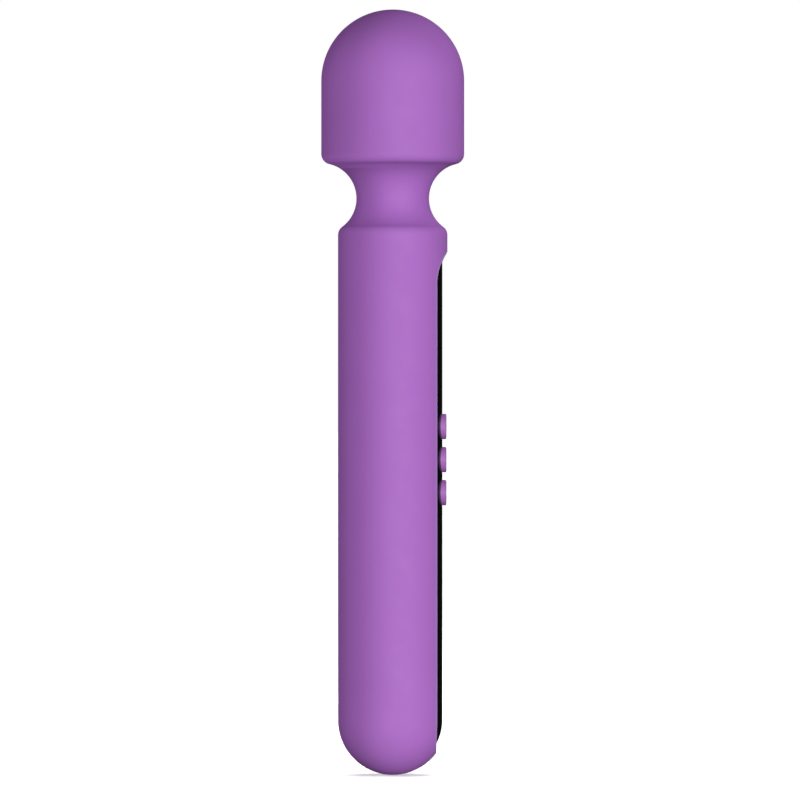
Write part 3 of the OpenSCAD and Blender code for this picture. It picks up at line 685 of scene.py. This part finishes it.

# %% [markdown]
# ## The skin of the neck and the head
#
# On the real wand the skin is one piece; here it is parted where the neck starts to bend, into two neck
# sleeves that are each closed. The head's cushion is thicker, because
# it is the part that touches the body, and it wraps over the inner shell and in under it to the neck cap.

# %% Build the neck and head skins
neck_low = build(
    "skin_of_lower_neck",
    sleeve(between(OUTER, FLEX_LOW, NECK_Z), between(INNER, FLEX_LOW, NECK_Z)),
    SILICONE,
)
neck_high = build(
    "skin_of_upper_neck",
    sleeve(between(OUTER, NECK_Z, FLEX_HIGH), between(INNER, NECK_Z, FLEX_HIGH)),
    SILICONE,
)


def bend(piece, lower):
    """Bakes a piece's placement into its points; the lower and upper pieces are treated alike and not bent.
    """
    if lower:
        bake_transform(piece)
    else:
        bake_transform(piece)


bend(neck_low, True)
bend(neck_high, False)
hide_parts("neck_skin_lower")
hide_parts("neck_skin_upper")

BOND_GAP = 0.05 * MM
SHELL_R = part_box("head_shell_lower")[1].x + BOND_GAP
CAP_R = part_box("neck_cap")[1].x + BOND_GAP
CAP_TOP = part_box("neck_cap")[1].z - BOND_GAP
head_out = between(OUTER, FLEX_HIGH, cad_high.z)
dome_in = [(r, z, -u, -v) for r, z, u, v in arc((0, DOME_Z), SHELL_R, 0, 90)]
head_patches = [
    turned(head_out),
    turned(line(CAP_R, FLEX_HIGH, head_out[0][0], FLEX_HIGH)),
    turned(line(CAP_R, CAP_TOP, CAP_R, FLEX_HIGH)),
    turned(line(SHELL_R, CAP_TOP, CAP_R, CAP_TOP)),
    turned(line(SHELL_R, DOME_Z, SHELL_R, CAP_TOP)),
    turned(dome_in),
]
head_skin = build("skin_of_head", head_patches, SILICONE)
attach(head_skin, "head")
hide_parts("head_skin")

# %% [markdown]
# ## The panel
#
# The panel is a shell of the same curve as the housing, 1.2 mm thick, with a hole for each button. We cut it
# from the same pattern, keep what lies inside its outline and outside the holes, and round every edge a
# little, as a polished moulding has.

# %% Build the panel
BUTTON_R = 3.9 * MM
PANEL_GAP = 0.1 * MM
PANEL_T = 1.2 * MM
PANEL_LIP_R = 0.15 * MM
HOLE_R = BUTTON_R + 0.09 * MM
key_boxes = [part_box(node) for node in ("button_minus", "button_power", "button_plus")]
key_heights = [(low.z + high.z) / 2 for low, high in key_boxes]
print("button heights in mm:", [round(z / MM, 2) for z in key_heights])

rim = round_ended(WINDOW_R - PANEL_GAP, WINDOW_LOW, WINDOW_HIGH)
loops, panel_patches, outer_openings = [rim] + [circle(HOLE_R, z) for z in key_heights], [], []
for loop in loops:
    walls = loop_normals(loop, loop is rim)
    patch, outer_loop, ring = lip(loop, walls, SKIN_T, 1, PANEL_LIP_R)
    outer_openings.append((1, outer_loop))
    panel_patches += [patch, wall(ring, loop, walls, SKIN_T + PANEL_T, 1)]
panel_rows = rows(BUTT_Z - WINDOW_R - 0.5 * MM, SHOULDER_Z)
panel_patches.append(pattern(SKIN_T, panel_rows, outer_openings, keep_inside=True))
back_face = pattern(SKIN_T + PANEL_T, panel_rows, [(1, loop) for loop in loops], keep_inside=True)
panel_patches.append(reversed_patch(back_face))
panel = build("panel_piano_black", panel_patches, PIANO_BLACK)
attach(panel, "handle")
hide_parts("control_panel")

# %% [markdown]
# ## The buttons
#
# Each button is one piece of silicone: a round cap, a flange that keeps it in, and a stem that presses the
# plunger of its switch. The cap's rim is rounded, and its face carries a shallow engraved mark: a plus, a
# ring or a minus. A mark is only 0.15 mm deep, and its edges are eased, because silicone never fills a sharp
# corner. The marks are cut into the flat face in the same way as the openings in the skin.

# %% Button sizes and marks
BUTTON_RIM_R = 0.45 * MM
FLANGE_R = 4.6 * MM
FLANGE_T = 0.48 * MM  # a hair thinner than in the model, so that a pressed button stops just above its seal
FLANGE_DROP = 3.6 * MM
STEM_R = 1.5 * MM
MARK_LENGTH = 3.2 * MM
MARK_WIDTH = 0.5 * MM
MARK_DEPTH = 0.15 * MM
MARK_EASE = 0.05 * MM


def cross_mark(grow):
    """A plus sign's loop, grown by a small distance."""
    a, b = MARK_LENGTH / 2 + grow, MARK_WIDTH / 2 + grow
    right, top = [(a, -b), (a, b), (b, b)], [(b, a), (-b, a), (-b, b)]
    left, bottom = [(-a, b), (-a, -b), (-b, -b)], [(-b, -a), (b, -a), (b, -b)]
    return [right + top + left + bottom]


def ring_mark(grow):
    """A ring's two loops, grown by a small distance."""
    return [circle(MARK_LENGTH / 2 + grow, 0, 48), circle(MARK_LENGTH / 2 - MARK_WIDTH - grow, 0, 48)]


def bar_mark(grow):
    """A minus sign's loop, grown by a small distance."""
    a, b = MARK_LENGTH / 2 + grow, MARK_WIDTH / 2 + grow
    return [[(a, -b), (a, b), (-a, b), (-a, -b)]]


def plate(height, loops):
    """A flat patch facing up, between loops."""
    flats = [p for loop in loops for p in loop]
    faces = filled(flats, loop_edges(loops), loops)
    return [(a, b, height) for a, b in flats], [(0, 0, 1)] * len(flats), faces


def groove(mark, top):
    """The eased sides and the floor of an engraved mark below a flat face."""
    levels = [(MARK_EASE, 0), (0, -MARK_EASE)]
    levels += [(-0.02 * MM, MARK_EASE - MARK_DEPTH), (-0.07 * MM, -MARK_DEPTH)]
    patches = []
    for (grow, rise), (next_grow, next_rise), lean in zip(levels, levels[1:], (0.7, 0.2, 0.7)):
        for n, (upper, lower) in enumerate(zip(mark(grow), mark(next_grow))):
            normals = [(u * (1 - lean), v * (1 - lean), lean) for u, v in loop_normals(upper, n == 1)]
            rings = [[(a, b, top + z) for a, b in loop] for loop, z in ((upper, rise), (lower, next_rise))]
            patches.append(strip(rings, [normals, normals]))
    patches.append(plate(top - MARK_DEPTH, mark(levels[-1][0])))
    return patches


print("button helpers are ready")

# %% [markdown]
# The cap, flange and stem are turned on an upright axis, closed with the marked face, and then laid over to
# the front. Turning keeps the rim perfectly round, and three buttons come from the same few lines.


# %% Build the buttons
BUTTON_TURN = 96


def facing_front(patch, height):
    """A patch made upright, laid over so that it faces the front of the wand at a height."""
    points, normals, faces = patch
    return [(z, x, y + height) for x, y, z in points], [(w, u, v) for u, v, w in normals], faces


def make_button(name, node, body, mark):
    """One button with its engraved mark, riding on its own body."""
    low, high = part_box(node)
    top, foot = high.x, low.x
    flange = top - FLANGE_DROP
    profile_parts = [
        line(0, foot, STEM_R, foot),
        line(STEM_R, foot, STEM_R, flange - FLANGE_T),
        line(STEM_R, flange - FLANGE_T, FLANGE_R, flange - FLANGE_T),
        line(FLANGE_R, flange - FLANGE_T, FLANGE_R, flange),
        line(FLANGE_R, flange, BUTTON_R, flange),
        line(BUTTON_R, flange, BUTTON_R, top - BUTTON_RIM_R),
        arc((BUTTON_R - BUTTON_RIM_R, top - BUTTON_RIM_R), BUTTON_RIM_R, 0, 90),
    ]
    patches = [turned(part, count=BUTTON_TURN) for part in profile_parts]
    face_edge = circle(BUTTON_R - BUTTON_RIM_R, 0, BUTTON_TURN)
    patches.append(plate(top, [face_edge, *mark(MARK_EASE)]))
    patches += groove(mark, top)
    height = (low.z + high.z) / 2
    piece = build(name, [facing_front(p, height) for p in patches], BUTTON_SILICONE)
    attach(piece, body)
    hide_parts(node)


make_button("key_plus", "button_plus", "plus_key", cross_mark)
make_button("key_power", "button_power", "power_key", ring_mark)
make_button("key_minus", "button_minus", "minus_key", bar_mark)

# %% [markdown]
# ## The cover over the charging port
#
# The cover is a small flush plug of the same silicone that swings on its flat upper edge. A bite out of its
# lower edge takes a fingernail; the bite stops short of the cover's inner face. The sides taper inwards so
# that the plug pushes into its hole easily.

# %% Build the port cover
COVER_R = PORT_R - 0.15 * MM
COVER_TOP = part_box("port_cover")[1].z
COVER_T = SKIN_T - 0.1 * MM
COVER_TAPER = 0.15
BITE_R = 0.6 * MM
BITE_DEPTH = SKIN_T - BITE_R
COVER_LIP_R = 0.1 * MM


def cover_loop(depth, bitten):
    """The cover's outline at a depth, as (y, z): a circle with a flat top, with or without the bite."""
    radius = COVER_R - COVER_TAPER * depth
    top = math.degrees(math.asin((COVER_TOP - PORT_Z) / radius))
    bite_z = -PORT_R
    meet_z = (radius**2 + bite_z**2 - BITE_R**2) / (2 * bite_z)
    meet = math.degrees(math.atan2(meet_z, math.sqrt(radius**2 - meet_z**2)))
    right = np.radians(np.linspace(top, meet, 28))
    left = np.radians(np.linspace(180 - meet, 180 - top, 28))
    loop = [(radius * math.cos(a), PORT_Z + radius * math.sin(a)) for a in right]
    if bitten:
        edge = math.degrees(math.atan2(meet_z - bite_z, math.sqrt(radius**2 - meet_z**2)))
        bite = np.radians(np.linspace(edge, 180 - edge, 10)[1:-1])
        loop += [(BITE_R * math.cos(a), PORT_Z + bite_z + BITE_R * math.sin(a)) for a in bite]
    else:
        bottom = np.radians(np.linspace(meet, -180 - meet, 10)[1:-1])
        loop += [(radius * math.cos(a), PORT_Z + radius * math.sin(a)) for a in bottom]
    loop += [(radius * math.cos(a), PORT_Z + radius * math.sin(a)) for a in left]
    half_flat = radius * math.cos(math.radians(180 - top))
    return loop + [((1 - i / 4) * half_flat, COVER_TOP) for i in range(1, 8)]


def cover_sheet(depth, loops):
    """A patch of the cover at a depth, between loops."""
    flats = [p for loop in loops for p in loop]
    points, normals = zip(*(on_handle(y, z, depth, -1) for y, z in flats))
    return points, normals, filled(flats, loop_edges(loops), loops)


bitten, ledge_bitten = cover_loop(0, True), cover_loop(BITE_DEPTH, True)
ledge_whole, inner_whole = cover_loop(BITE_DEPTH, False), cover_loop(COVER_T, False)
sides_out = loop_normals(bitten, True)
cover_lip, cover_outer, cover_ring = lip(bitten, sides_out, 0, -1, COVER_LIP_R, steps=4)
deeper = [on_handle(y, z, BITE_DEPTH, -1)[0] for y, z in ledge_whole]
cover_patches = [
    cover_sheet(0, [cover_outer]),
    cover_lip,
    wall(cover_ring, ledge_bitten, sides_out, BITE_DEPTH, -1),
    cover_sheet(BITE_DEPTH, [ledge_bitten, ledge_whole]),
    wall(deeper, inner_whole, loop_normals(inner_whole, True), COVER_T, -1),
    reversed_patch(cover_sheet(COVER_T, [inner_whole])),
]
cover = build("cover_of_port", cover_patches, SILICONE)
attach(cover, "cover")
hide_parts("port_cover")

# %% [markdown]
# ## Inside the neck
#
# Under the neck's skin sit two soft bushes, a coil spring and the two motor leads. They need plainer finishes
# than the skin: satin rubber, drawn spring steel and extruded PVC. One function makes them all, because each
# is one grain of a real size that drives the colour, the gloss and the relief together.


# %% Moulded and drawn finishes
def grained(name, hex_colour, hex_other, roughness, grain, depth, metallic=0.0, ior=1.5, stretch=(1, 1, 1)):
    """A finish whose colour, gloss and relief vary with one grain, given as a real size in millimetres."""
    material, tree, shader = new_material(name, hex_colour, roughness, metallic, ior)
    place = add_node(tree, "ShaderNodeTexCoord").outputs["Object"]
    laid = add_node(tree, "ShaderNodeMapping", {"Vector": place, "Scale": stretch}).outputs["Vector"]
    noise = add_noise(tree, laid, grain, 3.0)
    vary_colour(tree, shader, noise, hex_colour, hex_other)
    vary_gloss(tree, shader, noise, roughness * 0.85, roughness * 1.15)
    add_relief(tree, shader, noise, 0.4, depth)
    return material


SOFT_RUBBER = grained("grey rubber moulded satin", "#4A4A4E", "#424246", 0.7, 0.6, 0.03, ior=1.52)
SPRING_STEEL = grained("spring steel drawn and coiled", "#8E9094", "#7C7E82", 0.32, 0.2, 0.01, metallic=1.0)
RED_PVC = grained("red lead insulation extruded", "#B3231C", "#A51E18", 0.42, 0.5, 0.01, ior=1.53)
BLACK_PVC = grained("black lead insulation extruded", "#1B1B1D", "#232326", 0.42, 0.5, 0.01, ior=1.53)
print("finishes for the neck are ready")

# %% [markdown]
# ## The bushes
#
# A bush fills the neck between the skin and the spring, above and below the stiff ring. It is moulded from
# thermoplastic rubber and follows the skin's inner curve, so it is turned from the same outline, set in.

# %% Build the bushes
BUSH_HOLE_R = 7.5 * MM
bush_outline = outline(SKIN_T + BOND_GAP)
for name, node, low, high, lower in (
    ("bush_of_lower_neck", "neck_bush_lower", FLEX_LOW + BOND_GAP, RING_LOW - BOND_GAP, True),
    ("bush_of_upper_neck", "neck_bush_upper", RING_HIGH + BOND_GAP, FLEX_HIGH - BOND_GAP, False),
):
    outside = between(bush_outline, low, high)
    inside = [(BUSH_HOLE_R, z, 1.0, 0.0) for _, z, _, _ in outside]
    bush = build(name, sleeve(outside, inside), SOFT_RUBBER)
    bend(bush, lower)
    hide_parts(node)

# %% [markdown]
# ## The spring and the motor leads
#
# All of them are round tubes swept along a path. They have to bend with the neck, and a mesh bends about one
# joint only, so each is made as a lower and an upper half that share a point.


# %% Tubes along a path
def tube(path, radius, sides):
    """A closed round tube swept along points, as one patch."""
    p = np.array(path, float)
    heading = np.gradient(p, axis=0)
    heading /= np.linalg.norm(heading, axis=1)[:, None]
    across = np.cross(heading[0], (1.0, 0.3, 0.2))
    points, normals = [], []
    for centre, along in zip(p, heading):
        across = across - np.dot(across, along) * along
        across /= np.linalg.norm(across)
        other = np.cross(along, across)
        for k in range(sides):
            angle = 2 * math.pi * k / sides
            out = math.cos(angle) * across + math.sin(angle) * other
            points.append(tuple(centre + radius * out))
            normals.append(tuple(out))
    disc = [tuple(range(sides))]
    return [
        (points, normals, ring_quads(len(p), sides)),
        (points[:sides], [tuple(-heading[0])] * sides, disc),
        (points[-sides:], [tuple(heading[-1])] * sides, disc),
    ]


def eased(route, times=3):
    """A route with its corners cut off again and again, so that it bends smoothly."""
    for _ in range(times):
        middle = [q for a, b in zip(route, route[1:]) for q in (a * 0.75 + b * 0.25, a * 0.25 + b * 0.75)]
        route = [route[0], *middle, route[-1]]
    return route


def halved(path, z):
    """The lower and upper half of a path that crosses a height once, with a shared point there."""
    path = sorted(path, key=lambda q: q.z)
    k = next(i for i, q in enumerate(path) if q.z > z + NEAR)
    below, above = path[:k], path[k:]
    if below[-1].z < z - NEAR:
        share = (z - below[-1].z) / (above[0].z - below[-1].z)
        below.append(below[-1].lerp(above[0], share))
    return below, [below[-1], *above]


print("tube helpers are ready")

# %% [markdown]
# The spring is a plain coil of seven turns. Each lead runs from its motor terminal down through the spring
# and then forwards to the board. Its corners are cut off three times over, which rounds them as wire bends.

# %% Build the spring and the motor leads
SPRING_R = 6.3 * MM
SPRING_WIRE_R = 0.7 * MM
SPRING_TURNS = 7
SPRING_POINTS = 28
LEAD_R = 0.5 * MM
TUBE_SIDES = 12
spring_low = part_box("neck_spring")[0].z + SPRING_WIRE_R
spring_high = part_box("neck_spring")[1].z - SPRING_WIRE_R
count = SPRING_TURNS * SPRING_POINTS
helix = []
for i in range(count + 1):
    angle = 2 * math.pi * i / SPRING_POINTS
    z = spring_low + (spring_high - spring_low) * i / count
    helix.append(Vector((SPRING_R * math.cos(angle), SPRING_R * math.sin(angle), z)))

route = [(0, 5.2, 193.9), (0, 3, 192.6), (0, 1.4, 190), (0, 1.4, 177), (0, 1.4, 160)]
route += [(3.5, 2.4, 153), (6.6, 3, 147), (6.6, 3, 143)]
positive = eased([Vector(q) * MM for q in route])
negative = [Vector((q.x, -q.y, q.z)) for q in positive]
strands = [
    ("spring", "neck_spring", helix, SPRING_WIRE_R, SPRING_STEEL, "nickel"),
    ("lead_positive", "motor_lead_positive", positive, LEAD_R, RED_PVC, "red_lead"),
    ("lead_negative", "motor_lead_negative", negative, LEAD_R, BLACK_PVC, "black_lead"),
]
for name, node, path, radius, material, slot in strands:
    low_path, high_path = halved(path, NECK_Z)
    for part, half, lower in ((low_path, "lower", True), (high_path, "upper", False)):
        strand = build(name + "_" + half, tube(part, radius, TUBE_SIDES), material)
        bend(strand, lower)
        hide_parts(node)

# %% [markdown]
# ## The pieces inside
#
# Everything else inside keeps its construction shape, which is already the real one, and only needs its
# finish. The housing is ABS from a spark-eroded tool, the screws are zinc plated, the cell wears a sleeve of
# heat-shrunk PVC, and the motor's can is drawn steel. Each grain is the size that the real process leaves.

# %% Finishes for the inside
HOUSING_ABS = grained(
    "charcoal abs moulded and spark textured", "#3A3A40", "#34343A", 0.6, 0.4, 0.02, ior=1.54
)
SCREW_ZINC = grained("steel zinc plated", "#B9BCC2", "#A9ACB3", 0.3, 0.3, 0.01, metallic=1.0)
FOAM_TAPE = grained("acrylic foam tape", "#D8D8D0", "#C9C9C0", 0.85, 0.3, 0.05)
WHITE_NYLON = grained("natural nylon moulded", "#E8E4DA", "#E0DCD0", 0.5, 0.8, 0.01, ior=1.53)
BLACK_NYLON = grained("black glass filled nylon moulded", "#1C1C1E", "#252528", 0.5, 0.3, 0.02, ior=1.53)
SOLDER_MASK = grained("green solder mask screened", "#1F6B3A", "#1B6034", 0.35, 1.2, 0.01)
CELL_WRAP = grained(
    "blue pvc sleeve heat shrunk", "#2E7FBF", "#2A74B0", 0.3, 2.0, 0.02, ior=1.53, stretch=(1, 1, 0.2)
)
NICKEL = grained(
    "nickel strip rolled", "#C8C6BC", "#B8B6AC", 0.28, 0.15, 0.005, metallic=1.0, stretch=(0.1, 1, 1)
)
BRASS = grained("brass strip stamped", "#C9A24A", "#BC953F", 0.3, 0.2, 0.005, metallic=1.0)
CAN_STEEL = grained(
    "steel can deep drawn", "#B4B6BA", "#A5A7AC", 0.25, 0.3, 0.01, metallic=1.0, stretch=(1, 1, 0.05)
)
FERRITE = grained("ferrite sintered and ground", "#3E3E42", "#36363A", 0.65, 0.2, 0.03)
BRONZE = grained("bronze sintered", "#A9793C", "#9A6C33", 0.45, 0.15, 0.02, metallic=1.0)
COPPER = grained(
    "copper winding lacquered", "#A8552A", "#93481F", 0.3, 0.3, 0.06, metallic=1.0, stretch=(1, 1, 0.1)
)
IRON = grained("iron weight sintered", "#8F8F93", "#7F7F84", 0.5, 0.2, 0.03, metallic=1.0)
LAMP = grained("white lamp resin cast", "#F2F0E4", "#EAE8DA", 0.3, 0.5, 0.01)

finish_of = {
    HOUSING_ABS: "front_housing rear_housing neck_base neck_cap neck_ring head_shell_lower head_shell_upper",
    SCREW_ZINC: "housing_screws board_screws neck_cap_screws",
    FOAM_TAPE: "panel_tape",
    SOFT_RUBBER: "button_seals jack_o_ring battery_pads motor_isolator_lower motor_isolator_upper",
    WHITE_NYLON: "plunger_plus plunger_power plunger_minus motor_end_cap",
    BLACK_NYLON: "tact_switches board_chips charge_jack",
    SOLDER_MASK: "main_board",
    LAMP: "status_led",
    CELL_WRAP: "battery_cell",
    NICKEL: "battery_tabs",
    BRASS: "jack_contacts motor_terminals",
    CAN_STEEL: "motor_can motor_shaft",
    FERRITE: "motor_magnets",
    BRONZE: "motor_bushes",
    COPPER: "motor_armature",
    IRON: "eccentric_weight",
    RED_PVC: "battery_lead_positive jack_lead_positive",
    BLACK_PVC: "battery_lead_negative jack_lead_negative",
}
finished = 0
for material, names in finish_of.items():
    for name in names.split():
        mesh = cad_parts[name].data
        mesh.materials.clear()
        mesh.materials.append(material)
        finished += 1
print("finished", finished, "pieces inside")

# %% [markdown]
# ## The room
#
# The set is a pale, dim room with a white background. The room's own light is weak, and weaker still in
# reflections, which keeps the piano black panel black and gives the lilac its dark, soft edges. Only the
# camera sees the background in full white.

# %% Light the room
ROOM_BELOW = 0.06
ROOM_ABOVE = 0.04
IN_REFLECTIONS = 0.2
WHITE = (1, 1, 1, 1)

world = bpy.data.worlds.new("studio")
world.use_nodes = True
bpy.context.scene.world = world
tree = world.node_tree
tree.nodes.clear()
direction = add_node(tree, "ShaderNodeTexCoord").outputs["Generated"]
height = add_node(tree, "ShaderNodeSeparateXYZ", {"Vector": direction}).outputs["Z"]
levels = {"Value": height, 1: -1.0, 2: 1.0, 3: ROOM_BELOW, 4: ROOM_ABOVE}
level = add_node(tree, "ShaderNodeMapRange", levels).outputs["Result"]
rays = add_node(tree, "ShaderNodeLightPath").outputs
shares = {"Value": rays["Is Glossy Ray"], 3: 1.0, 4: IN_REFLECTIONS}
share = add_node(tree, "ShaderNodeMapRange", shares).outputs["Result"]
strength = add_node(tree, "ShaderNodeMath", {0: level, 1: share}, operation="MULTIPLY").outputs[0]
room = add_node(tree, "ShaderNodeBackground", {"Color": WHITE, "Strength": strength}).outputs[0]
paper = add_node(tree, "ShaderNodeBackground", {"Color": WHITE, "Strength": 1.0}).outputs[0]
mixed = add_node(tree, "ShaderNodeMixShader", {"Fac": rays["Is Camera Ray"], 1: room, 2: paper}).outputs[0]
add_node(tree, "ShaderNodeOutputWorld", {"Surface": mixed})
print("room light from", ROOM_BELOW, "below to", ROOM_ABOVE, "above")

# %% [markdown]
# ## The floor
#
# The wand stands on a wide sheet of pale paper. The paper would throw a lot of light up at the wand, and it
# would stop the low lamps, so it is left out of the light and the shadows on other pieces.

# %% Lay the floor
FLOOR_SIZE = 60.0
floor_mesh = bpy.data.meshes.new("floor")
half = FLOOR_SIZE / 2
corners = [(-half, -half, 0), (half, -half, 0), (half, half, 0), (-half, half, 0)]
floor_mesh.from_pydata(corners, [], [(0, 1, 2, 3)])
floor = bpy.data.objects.new("floor", floor_mesh)
bpy.context.scene.collection.objects.link(floor)
floor_mesh.materials.append(new_material("pale paper backdrop", "#F1F1F1", 0.9)[0])
floor.visible_diffuse = False
floor.visible_glossy = False
floor.visible_shadow = False
print("floor is", FLOOR_SIZE, "m wide")

# %% [markdown]
# ## The lamps
#
# One large softbox stands beside the camera, a little to its right and level with the wand, so the handle is
# brightest just right of its middle and falls off evenly to both sides. Three weaker ones behind the wand
# lift its edges and its back; flags before them keep them out of reflections. A card puts one long streak on
# the panel, and two small low lamps reach the rounded butt and the underside of the head. The floor has two
# lamps of its own, so that it stays pale; only one of them casts a shadow, which keeps that shadow faint.

# %% Place the lamps
WAND_MIDDLE = (0, 0, 0.1175)
SOFT_SHADOW = math.radians(60)


def add_light(name, data, position, aim):
    """Puts a lamp at a position and turns it to a point."""
    light = bpy.data.objects.new(name, data)
    light.location = position
    light.rotation_euler = (Vector(aim) - Vector(position)).to_track_quat("-Z", "Y").to_euler()
    bpy.context.scene.collection.objects.link(light)
    return light


def softbox(name, position, size, watts, reflected=True):
    """A square softbox aimed at the middle of the wand; it may be kept out of reflections."""
    data = bpy.data.lights.new(name, "AREA")
    data.energy, data.size = watts, size
    light = add_light(name, data, position, WAND_MIDDLE)
    light.visible_glossy = reflected
    return light


def only_on(light, piece):
    """Lets a light fall on one piece and nothing else."""
    lit = bpy.data.collections.new("lit_by_" + light.name)
    lit.objects.link(piece)
    light.light_linking.receiver_collection = lit


softbox("key_softbox", (0.39, -1.45, 0.15), 0.5, 23.3)
softbox("side_softbox", (-1.22, 0.84, 0.27), 0.5, 13.5, reflected=False)
softbox("back_softbox", (0.45, 1.0, 1.12), 0.6, 10, reflected=False)
softbox("far_side_softbox", (1.1, 1.0, 0.4), 0.5, 4.5, reflected=False)
only_on(softbox("panel_card", (1.15, -0.85, 0.25), 0.5, 5), panel)
only_on(softbox("paper_bounce", (0.02, -0.08, -0.15), 0.12, 0.05, reflected=False), handle_skin)
only_on(softbox("low_softbox", (-0.08, 0.05, -0.45), 0.3, 1.1, reflected=False), head_skin)

for name, strength, shadow in (("overhead", 1.3, True), ("overhead_fill", 2.9, False)):
    overhead = bpy.data.lights.new(name, "SUN")
    overhead.energy, overhead.angle, overhead.use_shadow = strength, SOFT_SHADOW, shadow
    only_on(add_light(name, overhead, (0, 0, 2), (0, 0, 0)), floor)
bpy.context.scene.view_settings.view_transform = "Standard"
